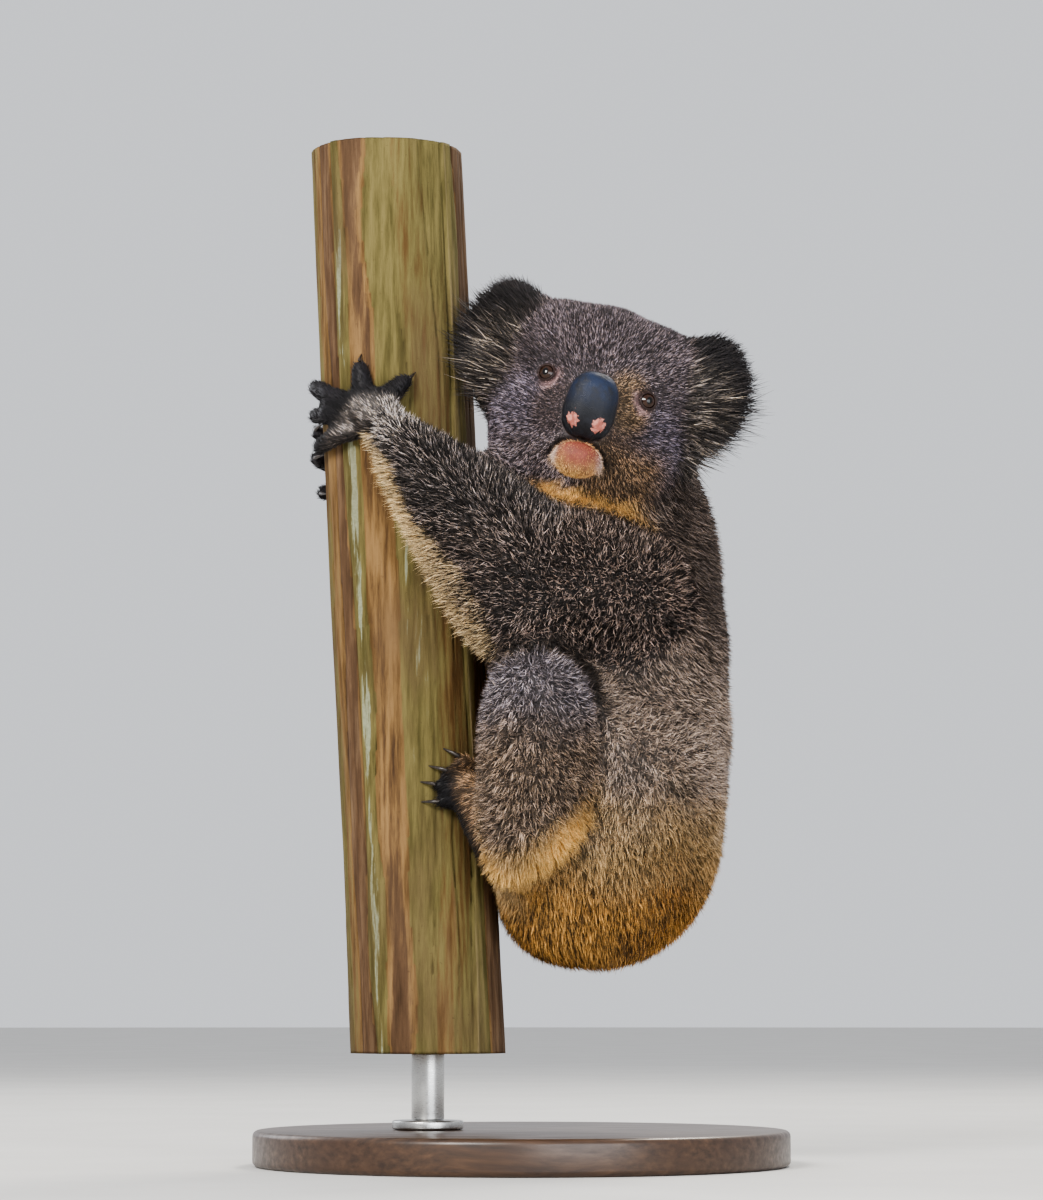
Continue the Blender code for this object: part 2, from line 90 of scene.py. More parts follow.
# %% Helpers for materials
class Graph:
    """A node tree of a material or a modifier, with short ways to add nodes and links."""

    def __init__(self, tree):
        self.tree = tree

    def add(self, kind, inputs=(), **settings):
        node = self.tree.nodes.new(kind)
        for name, value in settings.items():
            setattr(node, name, value)
        for key, value in dict(inputs).items():
            self.feed(node.inputs[key], value)
        return node

    def feed(self, socket, value):
        if isinstance(value, bpy.types.NodeSocket):
            self.tree.links.new(value, socket)
        else:
            socket.default_value = value

    def math(self, operation, a, b=0.0):
        return self.add("ShaderNodeMath", {0: a, 1: b}, operation=operation).outputs[0]

    def plus(self, a, b):
        return self.math("ADD", a, b)

    def times(self, a, b):
        return self.math("MULTIPLY", a, b)

    def swing(self, value, size):
        """A value between 0 and 1 as one that swings about zero by that size."""
        return self.times(self.math("SUBTRACT", value, 0.5), size)

    def vector(self, operation, a, b=(0.0, 0.0, 0.0)):
        node = self.add("ShaderNodeVectorMath", {0: a, 1: b}, operation=operation)
        return node.outputs["Value" if operation in ("LENGTH", "DOT_PRODUCT") else "Vector"]

    def scaled(self, vector, size):
        node = self.add("ShaderNodeVectorMath", {0: vector, "Scale": size}, operation="SCALE")
        return node.outputs["Vector"]

    def parts(self, vector):
        return self.add("ShaderNodeSeparateXYZ", {"Vector": vector}).outputs

    def joined(self, x, y, z=0.0):
        return self.add("ShaderNodeCombineXYZ", {"X": x, "Y": y, "Z": z}).outputs["Vector"]

    def kept(self, name, output="Vector"):
        """What the mesh keeps under that name."""
        return self.add("ShaderNodeAttribute", attribute_name=name).outputs[output]

    def tint(self, shader, colour):
        self.feed(shader.inputs["Base Color"], colour)

    def cells(self, place, scale, output="Distance"):
        """Round cells: the distance to the middle of the nearest one, or its place."""
        keys = {"Vector": place, "Scale": scale, "Randomness": 1.0}
        return self.add("ShaderNodeTexVoronoi", keys, feature="F1").outputs[output]

    def mix(self, share, a, b, blend="MIX"):
        node = self.add("ShaderNodeMix", data_type="RGBA", blend_type=blend)
        self.feed(node.inputs["Factor"], share)
        for name, value in (("A", a), ("B", b)):
            socket = next(s for s in node.inputs if s.name == name and s.type == "RGBA")
            self.feed(socket, (*value, 1.0) if isinstance(value, tuple) and len(value) == 3 else value)
        return next(s for s in node.outputs if s.type == "RGBA")

    def ramp(self, value, stops):
        node = self.add("ShaderNodeValToRGB", {"Fac": value})
        ramp = node.color_ramp
        while len(ramp.elements) < len(stops):
            ramp.elements.new(0.5)
        for element, (place, colour) in zip(ramp.elements, stops):
            element.position = place
            element.color = (*colour, 1.0) if len(colour) == 3 else colour
        return node.outputs["Color"]

    def span(self, value, low, high, to_low=0.0, to_high=1.0):
        keys = {"Value": value, "From Min": low, "From Max": high, "To Min": to_low, "To Max": to_high}
        return self.add("ShaderNodeMapRange", keys, interpolation_type="SMOOTHSTEP").outputs["Result"]

    def noise(self, place, scale, detail=3.0, roughness=0.55):
        keys = {"Vector": place, "Scale": scale, "Detail": detail, "Roughness": roughness}
        return self.add("ShaderNodeTexNoise", keys).outputs["Fac"]


def new_material(name, roughness, specular=0.5, coat=0.0, sheen=0.0):
    """A material with one Principled shader: the graph, the shader and object coordinates."""
    material = bpy.data.materials.new(name)
    material.use_nodes = True
    graph = Graph(material.node_tree)
    shader = material.node_tree.nodes["Principled BSDF"]
    shader.inputs["Roughness"].default_value = roughness
    shader.inputs["Specular IOR Level"].default_value = specular
    shader.inputs["Coat Weight"].default_value = coat
    shader.inputs["Coat Roughness"].default_value = 0.12
    shader.inputs["Sheen Weight"].default_value = sheen
    place = graph.add("ShaderNodeTexCoord").outputs["Object"]
    return material, graph, shader, place


def add_bump(graph, shader, height, distance, strength=1.0):
    """A bump of that depth in metres, from a height between 0 and 1."""
    keys = {"Height": height, "Distance": distance, "Strength": strength}
    graph.feed(shader.inputs["Normal"], graph.add("ShaderNodeBump", keys).outputs["Normal"])


# %% [markdown]
# The floor is a wide pale disc under an even pale sky. Four square lamps light the animal: one sun would be
# simpler, but its hard shadows would hide the coat, and soft lamps show each tuft. Which lamp does what is in
# its name, and the key is the warm one.

# %% Floor, sky and lamps
FLOOR_RADIUS = 14.0
FLOOR_CORNERS = 96
SKY_STRENGTH = 0.85
SKY_COLOUR = (0.86, 0.88, 0.92, 1.0)
LAMPS = {
    # name: place, size in metres, watts, colour
    "key_lamp": ((-1.2, -2.3, 1.7), 0.9, 92.0, (1.0, 0.97, 0.92)),
    "fill_lamp": ((1.1, -2.4, 0.25), 2.0, 74.0, (0.94, 0.97, 1.0)),
    "top_lamp": ((0.9, 1.5, 2.2), 0.8, 48.0, (1.0, 0.95, 0.86)),
    "far_lamp": ((-1.9, 1.6, 1.2), 1.4, 18.0, (0.95, 0.97, 1.0)),
}


def add_floor():
    """A wide pale disc, so that every view has the same plain ground."""
    bm = bmesh.new()
    bmesh.ops.create_circle(bm, cap_ends=True, segments=FLOOR_CORNERS, radius=FLOOR_RADIUS)
    mesh = bpy.data.meshes.new("floor")
    bm.to_mesh(mesh)
    bm.free()
    floor = bpy.data.objects.new("floor", mesh)
    scene.collection.objects.link(floor)
    material, graph, shader, place = new_material("pale floor", 0.75, specular=0.25)
    grain = graph.noise(place, 6.0, 5.0)
    colour = graph.mix(graph.span(grain, 0.3, 0.7), (0.60, 0.59, 0.57), (0.64, 0.63, 0.61))
    graph.tint(shader, colour)
    mesh.materials.append(material)


def add_lamp(name, place, size, watts, colour):
    """A square soft lamp at place, aimed at the middle of the object."""
    data = bpy.data.lights.new(name, "AREA")
    data.size = size
    data.energy = watts
    data.color = colour
    lamp = bpy.data.objects.new(name, data)
    lamp.location = place
    lamp.rotation_euler = (LOOK_AT - Vector(place)).to_track_quat("-Z", "Y").to_euler()
    scene.collection.objects.link(lamp)


def add_sky():
    """An even pale surround, which also fills the shadows."""
    world = bpy.data.worlds.new("surround")
    world.use_nodes = True
    background = world.node_tree.nodes["Background"]
    background.inputs["Color"].default_value = SKY_COLOUR
    background.inputs["Strength"].default_value = SKY_STRENGTH
    scene.world = world


add_floor()
add_sky()
for lamp_name, lamp in LAMPS.items():
    add_lamp(lamp_name, *lamp)
scene.view_settings.view_transform = "AgX"
scene.view_settings.look = "AgX - Medium High Contrast"

# %% [markdown]
# ## The head's own frame
# Eyelids, lips and nostrils are easiest to place in a frame that turns with the head. Three solids fix it:
# the two eyes give the sideways direction, and the nose, which lies a known angle below and before them,
# gives the rest. In this frame x runs to the animal's left, y to the back of the skull and z to the crown.


# %% Find the head's frame
def centre(node):
    """The middle of a solid's box."""
    low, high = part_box(node)
    return np.array((low + high) / 2)


EYE_LEFT, EYE_RIGHT, NOSE = centre("eye_left"), centre("eye_right"), centre("nose")
EYE_HALF_SPAN = 34.0 * MM
EYE_DEPTH = -35.0 * MM
NOSE_PLACE = np.array((0.0, -59.0, -19.5)) * MM
EYE_RADIUS = 7.5 * MM


def unit(v):
    """The vector at length 1."""
    return v / np.linalg.norm(v)


def away(points, middle):
    """How far each point lies from the middle."""
    return np.linalg.norm(points - middle, axis=1)


def head_frame():
    """The head's origin and its three axes, as rows."""
    across = unit(EYE_LEFT - EYE_RIGHT)
    middle = (EYE_LEFT + EYE_RIGHT) / 2
    to_nose = NOSE - middle
    to_nose = unit(to_nose - across * to_nose.dot(across))
    third = np.cross(across, to_nose)
    fall = unit(NOSE_PLACE - np.array((0.0, EYE_DEPTH, 0.0)))
    back = fall[1] * to_nose - fall[2] * third
    up = np.cross(across, back)
    return middle - EYE_DEPTH * back, np.array((across, back, up))


HEAD_ORIGIN, HEAD_AXES = head_frame()


def to_head(points):
    """Row-frame points in the head's frame."""
    return (points - HEAD_ORIGIN) @ HEAD_AXES.T


def from_head(points):
    """Head-frame points in the row frame."""
    return points @ HEAD_AXES + HEAD_ORIGIN


print("nose in the head's frame:", (to_head(NOSE) / MM).round(1), "mm")
print("left eye in the head's frame:", (to_head(EYE_LEFT) / MM).round(1), "mm")

# %% [markdown]
# ## The skin
# Under the coat the animal is one piece, so the seventeen solids of flesh are melted into one closed skin. It
# could be joined with Booleans, but thin gaps between the solids would stay as seams. A voxel remesh of
# slightly swollen copies closes them, and smoothing then takes away the flat facets of the solids.

# %% Helpers for meshes
def merged_copy(node):
    """A copy of a solid's mesh as a bmesh whose triangles share their corners."""
    bm = bmesh.new()
    bm.from_mesh(NODES[node].data)
    bmesh.ops.remove_doubles(bm, verts=bm.verts, dist=0.01 * MM)
    bm.normal_update()
    return bm


def arrays_of(bm):
    """The points and triangles of a bmesh, which is freed."""
    bm.verts.index_update()
    points = np.array([v.co for v in bm.verts])
    faces = [[v.index for v in f.verts] for f in bm.faces]
    bm.free()
    return points, faces


def merged_shells(shells):
    """The points and faces of many shells as one set of points and one of faces."""
    points, faces, count = [], [], 0
    for own_points, own_faces in shells:
        points.append(own_points)
        faces += [[i + count for i in face] for face in own_faces]
        count += len(own_points)
    return np.concatenate(points), faces


def mesh_object(name, points, faces):
    """A new object at the origin from points and faces."""
    mesh = bpy.data.meshes.new(name)
    mesh.from_pydata([tuple(p) for p in points], [], [tuple(int(i) for i in f) for f in faces])
    mesh.update()
    made = bpy.data.objects.new(name, mesh)
    scene.collection.objects.link(made)
    return made


def freeze(made):
    """Turns the object's modifiers into plain mesh."""
    graph = bpy.context.evaluated_depsgraph_get()
    mesh = bpy.data.meshes.new_from_object(made.evaluated_get(graph))
    made.modifiers.clear()
    old = made.data
    made.data = mesh
    bpy.data.meshes.remove(old)
    mesh.name = made.name
    return made


loose, merged = len(NODES["head"].data.vertices), len(arrays_of(merged_copy("head"))[0])
print("the head's solid has", merged, "points, and", loose, "before they are merged")

# %% [markdown]
# A claw only touches its digit, so a little ball of flesh is set round each claw's root. A hole cut for every
# claw would leave rims, and the ball makes the skin close round the claw as a real claw bed does.

# %% Melt the flesh into one mesh
SWELL = 0.5 * MM
SKIN_VOXEL = 2.0 * MM
CLAW_BED = 1.25
ROOT_POINTS = 5


def claw_root(node):
    """The middle and the radius of a claw's thick end, where it grows from its digit."""
    points, _ = arrays_of(merged_copy(node))
    from_paw = away(points, centre(node.split("_claw")[0]))
    root = points[np.argsort(from_paw)[:ROOT_POINTS]]
    middle = root.mean(axis=0)
    return middle, away(root, middle).mean()


def claw_bed(node):
    """A little ball round the root of a claw, so that the skin closes over it."""
    middle, radius = claw_root(node)
    bm = bmesh.new()
    bmesh.ops.create_icosphere(bm, subdivisions=2, radius=radius * CLAW_BED + SWELL)
    points, faces = arrays_of(bm)
    return points + middle, faces


def swollen(node):
    """A solid's shell, a little swollen so that it meets its neighbours across the thin cuts."""
    bm = merged_copy(node)
    for v in bm.verts:
        v.co += v.normal * SWELL
    return arrays_of(bm)


def remelt(made):
    """Gives a mesh even faces again, which also cuts out folds that cross themselves."""
    remesh = made.modifiers.new("melt", "REMESH")
    remesh.mode = "VOXEL"
    remesh.voxel_size = SKIN_VOXEL
    return freeze(made)


def melt_flesh():
    """One closed mesh round all the flesh, and for every triangle of flesh the node that it came from."""
    claws = sorted(n for n in NODES if "_claw_" in n)
    shells = [swollen(node) for node in FLESH] + [claw_bed(node) for node in claws]
    owners = FLESH + [node.split("_claw")[0] for node in claws]
    owner = np.repeat([FLESH.index(node) for node in owners], [len(faces) for _, faces in shells])
    points, faces = merged_shells(shells)
    nearest = BVHTree.FromPolygons([Vector(p) for p in points], faces)
    return remelt(mesh_object("skin", points, faces)), nearest, owner


def keep_outer_shell(made):
    """Deletes every loose shell but the largest."""
    bm = bmesh.new()
    bm.from_mesh(made.data)
    unseen = set(bm.verts)
    shells = []
    while unseen:
        shell, edge_of_shell = set(), [next(iter(unseen))]
        while edge_of_shell:
            v = edge_of_shell.pop()
            if v in unseen:
                unseen.discard(v)
                shell.add(v)
                edge_of_shell += [e.other_vert(v) for e in v.link_edges]
        shells.append(shell)
    shells.sort(key=len)
    for shell in shells[:-1]:
        bmesh.ops.delete(bm, geom=list(shell), context="VERTS")
    bm.to_mesh(made.data)
    bm.free()
    return len(shells) - 1


skin, nearest_flesh, owner_of_face = melt_flesh()
print("skin faces:", len(skin.data.polygons), "loose shells dropped:", keep_outer_shell(skin))


# %% [markdown]
# The next steps move thousands of points by rules, so they work on plain arrays. A Smooth modifier would do
# for the smoothing, but by hand each point gets a weight of its own: it moves towards the mean of its
# neighbours by that weight. Ears and paws are small, so they are smoothed far less than the body.

# %% Array helpers
def points_of(mesh):
    """The places of a mesh's points as rows."""
    flat = np.empty(len(mesh.vertices) * 3)
    mesh.vertices.foreach_get("co", flat)
    return flat.reshape(-1, 3)


def normals_of(mesh):
    """The directions out of the surface at a mesh's points as rows."""
    flat = np.empty(len(mesh.vertices) * 3)
    mesh.vertex_normals.foreach_get("vector", flat)
    return flat.reshape(-1, 3)


def set_points(mesh, points):
    """Moves a mesh's points to new places."""
    mesh.vertices.foreach_set("co", np.ascontiguousarray(points, dtype=np.float32).ravel())
    mesh.update()


def smooth_step(low, high, value):
    """0 up to low, 1 from high and a soft rise between them."""
    share = np.clip((value - low) / (high - low), 0.0, 1.0)
    return share * share * (3 - 2 * share)


def bump_share(value, middle, width):
    """1 where the value is at the middle, falling softly to 0 on both sides."""
    return np.exp(-(((value - middle) / width) ** 2))


class Neighbours:
    """The mean of each point's neighbours, for smoothing points or any value that lies on them."""

    def __init__(self, mesh):
        flat = np.empty(len(mesh.edges) * 2, dtype=np.int64)
        mesh.edges.foreach_get("vertices", flat)
        ends = flat.reshape(-1, 2)
        self.to = np.concatenate((ends[:, 0], ends[:, 1]))
        self.source = np.concatenate((ends[:, 1], ends[:, 0]))
        self.count = len(mesh.vertices)
        self.degree = np.maximum(np.bincount(self.to, minlength=self.count), 1)

    def mean(self, values):
        columns = values.reshape(self.count, -1)
        sums = [np.bincount(self.to, weights=c[self.source], minlength=self.count) for c in columns.T]
        return (np.array(sums).T / self.degree[:, None]).reshape(values.shape)

    def blur(self, values, times):
        for _ in range(times):
            values = 0.5 * (values + self.mean(values))
        return values


def part_shares(points, around, blur):
    """For each point, how far it belongs to each flesh node: one column a node, rows that sum to one."""
    found = [nearest_flesh.find_nearest(Vector(p))[2] for p in points]
    shares = np.zeros((len(points), len(FLESH)))
    shares[np.arange(len(points)), owner_of_face[found]] = 1.0
    return around.blur(shares, blur)


def share_of(shares, *names):
    """The share of all nodes whose names start with one of names."""
    columns = [i for i, node in enumerate(FLESH) if node.startswith(names)]
    return shares[:, columns].sum(axis=1)


def smoothed(mesh, rounds, weight):
    """Plain smoothing of a mesh's points: each point goes to the mean of its neighbours, by its weight."""
    around = Neighbours(mesh)
    points = points_of(mesh)
    for _ in range(rounds):
        points = points + 0.5 * weight[:, None] * (around.mean(points) - points)
    set_points(mesh, points)
    return points


# %% [markdown]
# A Smooth modifier would round the whole animal alike. A few rounds for all, many for the back and as many for
# the creases between limbs and body leave a soft trunk and crisp paws.

# %% Round the body
BODY_ROUNDS = 60
BACK_ROUNDS = 190
LAST_ROUNDS = 14
SHARE_BLUR = 8
SMALL_WEIGHT = {"head": 0.55, "ear_": 0.75, "hand_": 0.03, "foot_": 0.03}
FLAT_DENT, DEEP_DENT = 0.10 * MM, 0.35 * MM


def body_weight(shares):
    """How much each point may be smoothed: the body fully, the paws hardly."""
    return 1.0 - sum((1.0 - value) * share_of(shares, name) for name, value in SMALL_WEIGHT.items())


def smooth_body():
    """Rounds off the flat facets and the sharp creases between the solids."""
    around = Neighbours(skin.data)
    shares = part_shares(points_of(skin.data), around, SHARE_BLUR)
    weight = body_weight(shares)
    smoothed(skin.data, BODY_ROUNDS, weight)
    shape = smoothed(skin.data, BACK_ROUNDS, share_of(shares, "torso", "neck") * weight)
    dent = away(around.mean(shape), shape)
    crease = around.blur(smooth_step(FLAT_DENT, DEEP_DENT, dent) * smooth_step(0.3, 0.9, weight), 6)
    smoothed(skin.data, BACK_ROUNDS, crease)


smooth_body()
remelt(skin)
keep_outer_shell(skin)
shape = points_of(skin.data)
around = Neighbours(skin.data)
shares = part_shares(shape, around, SHARE_BLUR)
shape = smoothed(skin.data, LAST_ROUNDS, smooth_step(0.2, 0.8, body_weight(shares)))
print("points:", len(shape), "nodes told apart:", shares.shape[1])

# %% [markdown]
# Lids and lips need finer faces than the back does. Splitting the whole skin would cost far too many
# triangles, so only the faces inside a few balls are split, in up to three passes where the detail is finest.

# %% Finer faces where the detail is
FACE_MIDDLE = np.array((0.0, -50.0, -22.0)) * MM
MOUTH_BALL = np.array((0.0, -48.0, -50.0)) * MM
EAR_MIDDLE = np.array((88.0, 0.0, 7.0)) * MM
FACE_REACH = 44.0 * MM
EYE_REACH = 17.0 * MM
NOSE_REACH = 30.0 * MM
SPLIT_PASSES = (
    # how far about the face, the mouth and each eye the faces are split, with 0 for not at all
    (FACE_REACH, 0.0, EYE_REACH),
    (0.0, 24.5 * MM, 15.0 * MM),
    (0.0, 0.0, 10.0 * MM),
)


def eye_places():
    """The two eyes in the head's frame, with the side that each is on."""
    return ((1, np.array((EYE_HALF_SPAN, EYE_DEPTH, 0.0))), (-1, np.array((-EYE_HALF_SPAN, EYE_DEPTH, 0.0))))


def split_faces(mesh, inside):
    """Splits every face whose corners are all inside in four."""
    bm = bmesh.new()
    bm.from_mesh(mesh)
    chosen = {e for f in bm.faces if all(inside[v.index] for v in f.verts) for e in f.edges}
    bmesh.ops.subdivide_edges(bm, edges=list(chosen), cuts=1, use_grid_fill=True, smooth=0.6)
    bm.to_mesh(mesh)
    bm.free()


def near_face(points, reach):
    """Which points are within reach of the middle of the face."""
    return np.linalg.norm((to_head(points) - FACE_MIDDLE) / (1.0, 0.8, 1.0), axis=1) < reach


def near_eyes(points, reach):
    """Which points are within reach of an eye."""
    local = to_head(points)
    return np.min([away(local, place) for _, place in eye_places()], axis=0) < reach


for face_reach, mouth_reach, eye_reach in SPLIT_PASSES:
    shape = points_of(skin.data)
    about_mouth = away(to_head(shape), MOUTH_BALL) < mouth_reach
    split_faces(skin.data, near_face(shape, face_reach) | about_mouth | near_eyes(shape, eye_reach))
shape = points_of(skin.data)
hollow = near_eyes(shape, EYE_REACH) | (away(to_head(shape), NOSE_PLACE) < NOSE_REACH)
shape = smoothed(skin.data, BODY_ROUNDS, hollow.astype(float))
from_lobe = away(np.abs(to_head(shape)), EAR_MIDDLE)
shape = smoothed(skin.data, 80, 1.0 - smooth_step(13 * MM, 20 * MM, from_lobe))
shape = smoothed(skin.data, LAST_ROUNDS, near_face(shape, FACE_REACH).astype(float))
print("skin faces after splitting:", len(skin.data.polygons))

# %% [markdown]
# The solids reach to the tips of the coat, so the skin has to lie inside them by the depth of the fur: hardly
# anything on the paws and muzzle, most on the back. The skin sinks along its own normals in small steps, with
# a touch of smoothing between them so that it doesn't fold in the creases.

# %% Sink the skin by the depth of the coat
COAT_DEPTH = {
    "head": 4.0 * MM,
    "ear_": 3.4 * MM,
    "neck": 6.0 * MM,
    "torso": 5.0 * MM,
    "upper_arm": 6.5 * MM,
    "forearm": 5.5 * MM,
    "thigh": 6.5 * MM,
    "shin": 6.0 * MM,
    "hand_": 0.6 * MM,
    "foot_": 0.7 * MM,
}
SINK_STEPS = 5


def muzzle_nearness(points):
    """1 on the muzzle round nose and mouth, 0 past the eyes."""
    out = np.linalg.norm((to_head(points) - (0.0, -0.052, -0.028)) / (0.030, 0.034, 0.036), axis=1)
    return 1.0 - smooth_step(0.75, 1.45, out)


LEG_MIDDLE = np.array((9.0, 259.0)) * MM
LEG_RADII = np.array((42.0, 78.0)) * MM
LEG_SQUARENESS = 2.5
HEEL_SHIFT = -13.0 * MM
FAR_LEG_DROP = -10.0 * MM
FOLD_DEPTH = 4.5 * MM
HEM_HEIGHT = 190.5 * MM
HEM_SLOPE = 0.36
HEM_CURVE = 9.8


def leg_height(points):
    """The height of each point, with the far leg raised to where the near one is."""
    return points[:, 2] - np.where(points[:, 1] > 0, FAR_LEG_DROP, 0.0)


def above_hem(points):
    """How far each point lies above the leg's lower edge, which rises from the heel to the flank."""
    x = np.clip(points[:, 0], -0.030, 0.060)
    return leg_height(points) - (HEM_HEIGHT + HEM_SLOPE * x + HEM_CURVE * x**2)


def leg_outline(points):
    """How far out in its folded leg each point lies, with 1 on the outline, and its bearing in degrees."""
    z = leg_height(points) - LEG_MIDDLE[1]
    x = points[:, 0] - LEG_MIDDLE[0] - HEEL_SHIFT * np.clip(-z / LEG_RADII[1], 0.0, 1.0)
    out = np.abs(x / LEG_RADII[0]) ** LEG_SQUARENESS + np.abs(z / LEG_RADII[1]) ** LEG_SQUARENESS
    return out ** (1.0 / LEG_SQUARENESS), np.degrees(np.arctan2(z, x))


def leg_fold(points):
    """1 in the crease round the top and the back of the folded leg, where it presses on arm and flank.
    The skin sinks deeper there, and painted shade is laid in it.
    """
    out, bearing = leg_outline(points)
    spread = np.abs(points[:, 1])
    turned = smooth_step(-60.0, -20.0, bearing) * smooth_step(175.0, 140.0, bearing)
    return bump_share(out, 1.07, 0.07) * turned * smooth_step(0.055, 0.080, spread)


def coat_depth(points, shares):
    """The depth of the coat at each point."""
    depth = sum(value * share_of(shares, name) for name, value in COAT_DEPTH.items())
    depth = depth * (1.0 - 0.62 * muzzle_nearness(points) * share_of(shares, "head"))
    return depth + FOLD_DEPTH * leg_fold(points)


around = Neighbours(skin.data)
shares = part_shares(shape, around, SHARE_BLUR)
small = share_of(shares, "ear_", "hand_", "foot_")
depth = around.blur(coat_depth(shape, shares), 4)
for _ in range(SINK_STEPS):
    set_points(skin.data, shape - normals_of(skin.data) * (depth / SINK_STEPS)[:, None])
    shape = smoothed(skin.data, 2, smooth_step(0.0, 1.0, 1.0 - small))
print("coat depth from", round(depth.min() / MM, 1), "to", round(depth.max() / MM, 1), "mm")

# %% [markdown]
# The mouth of a koala is an arch under the nose with a round chin hung in it. A sculpt would do, but two
# numbers for the middle and two for the radii say the same, and the markings can use them again.

# %% Carve the mouth
MOUTH_MIDDLE = np.array((1.2, -58.0)) * MM
MOUTH_RADII = np.array((21.0, 15.5)) * MM
MOUTH_DEPTH = 2.9 * MM
LIP_HEIGHT = 0.9 * MM
CHIN_HEIGHT = 3.6 * MM
SEAT_RADII = np.array((16.0, 15.0, 21.5)) * MM
SEAT_DEPTH = 3.0 * MM


def mouth_ring(points):
    """1 on the line of the mouth's arch, less inside it, more outside."""
    flat = (points[:, [0, 2]] - MOUTH_MIDDLE) / MOUTH_RADII
    return np.hypot(flat[:, 0], flat[:, 1])


def carve_mouth(points, normals):
    """The groove of the mouth, a soft upper lip above it and the round chin below."""
    ring = mouth_ring(points)
    front = 1.0 - smooth_step(-38 * MM, -28 * MM, points[:, 1])
    arch = smooth_step(-10 * MM, 0 * MM, points[:, 2] - MOUTH_MIDDLE[1])
    groove = bump_share(ring, 1.0, 0.085) * arch
    lip = bump_share(ring, 1.22, 0.12) * arch
    chin = np.clip(1.0 - ring**2, 0.0, 1.0)
    push = -MOUTH_DEPTH * groove + LIP_HEIGHT * lip + CHIN_HEIGHT * np.sqrt(chin)
    return points + normals * (front * push)[:, None]


def carve_nose_seat(points):
    """Keeps the skin behind the nose pad's face."""
    off = (points - NOSE_PLACE) / SEAT_RADII
    inside = np.hypot(off[:, 0], off[:, 2])
    share = (1.0 - smooth_step(0.72, 1.0, inside)) * (points[:, 1] < -30 * MM)
    back = np.maximum(points[:, 1], NOSE_PLACE[1] + SEAT_DEPTH)
    points = points.copy()
    points[:, 1] += share * (back - points[:, 1])
    return points


local = carve_nose_seat(to_head(shape))
set_points(skin.data, from_head(local))
local = carve_mouth(local, normals_of(skin.data) @ HEAD_AXES.T)
set_points(skin.data, from_head(local))
mouth_weight = 1.0 - smooth_step(1.2, 1.5, mouth_ring(local))
local = to_head(smoothed(skin.data, 4, mouth_weight * near_face(shape, 60 * MM)))
print("points on the mouth's line:", int((np.abs(mouth_ring(local) - 1.0) < 0.05).sum()))

# %% [markdown]
# Each eye gets lids that hug the ball, with a nearly round opening whose edge is snapped to a clean line. Lids
# could be rings of their own, but then a seam would show, so the skin itself is moved onto them.

# %% Carve the lids
LID_THICKNESS = 0.8 * MM
LID_BEND = 0.76
LID_FOLD = 0.9 * MM
EYE_SET_BACK = 3.0 * MM
OPENING_HALF_WIDTH = 5.3 * MM
OPENING_HALF_HEIGHT = 5.0 * MM
GAZE_REACH = 16.0 * MM
LID_REACH = 24.0 * MM
EDGE_SNAP = 0.07
CREASE_DEPTH = 0.5 * MM
BEHIND_EYE = 2.6 * MM


def eye_frame(side, place, points, normals):
    """The gaze of an eye and its sideways and upward axes, in the head's frame, from the skin about it."""
    close = away(points, place) < GAZE_REACH
    gaze = unit(unit(normals[close].mean(axis=0)) + np.array((0.0, -0.8, 0.0)))
    across = unit(np.cross(gaze, np.array((0.10 * side, 0.0, 1.0))))
    return gaze, across, np.cross(across, gaze)


def carve_lids(points, normals):
    """Moves the skin round each eye onto its lids. Also gives how many openings wide each point is away."""
    span = np.full(len(points), 9.0)
    axes = {}
    for side, place in eye_places():
        gaze, across, up = axes[side] = eye_frame(side, place, points, normals)
        place = place - EYE_SET_BACK * gaze
        off = points - place
        a, b, h = off @ across, off @ up, off @ gaze
        e = np.hypot(a / OPENING_HALF_WIDTH, b / OPENING_HALF_HEIGHT)
        close = (np.linalg.norm(off, axis=1) < LID_REACH) & (h > -LID_REACH / 2)
        snap = close & (np.abs(e - 1.0) < EDGE_SNAP)
        a[snap] /= e[snap]
        b[snap] /= e[snap]
        e[snap] = 1.0
        lid = EYE_RADIUS + LID_THICKNESS
        flat = np.hypot(a, b)
        bend = LID_BEND * lid
        slope = bend / math.sqrt(lid**2 - bend**2)
        cap = np.sqrt(np.maximum(lid**2 - np.minimum(flat, bend) ** 2, 0.0))
        mound = np.maximum(cap - slope * np.maximum(flat - bend, 0.0), h - LID_FOLD)
        onto_lid = 1.0 - smooth_step(0.70 * lid, 1.75 * lid, flat)
        outside = close & (e >= 1.0)
        h[outside] += (onto_lid * (mound - h))[outside]
        crease = bump_share(e, 1.75, 0.16) * (0.55 + 0.45 * np.sign(b))
        h[outside] -= (CREASE_DEPTH * crease)[outside]
        inside = close & (e < 1.0)
        h[inside] = np.sqrt(np.maximum(EYE_RADIUS**2 - flat**2, 0.0))[inside] - BEHIND_EYE
        moved = place + a[:, None] * across + b[:, None] * up + h[:, None] * gaze
        points = np.where(close[:, None], moved, points)
        span = np.where(close, np.minimum(span, e), span)
    return points, span, axes


local, eye_span, EYE_AXES = carve_lids(local, normals_of(skin.data) @ HEAD_AXES.T)
shape = from_head(local)
set_points(skin.data, shape)
print("points on the edge of a lid:", int((np.abs(eye_span - 1.0) < 1e-6).sum()))


# %% [markdown]
# ## Eyes
# A glass eye of a museum animal is one ball: a dark pupil, a brown iris with fine spokes, a darker rim, and a
# clear bulge over them. Here the bulge is in the shape, the colours follow the angle from the line of sight,
# which is kept on the mesh as an attribute, and a coat layer in the shader gives the wet shine.

# %% Helpers for finished pieces
EYE_ROWS, EYE_SIDES = 40, 64
CORNEA_ANGLE = 0.62
CORNEA_BULGE = 0.5 * MM
PUPIL_SQUEEZE = 1.35


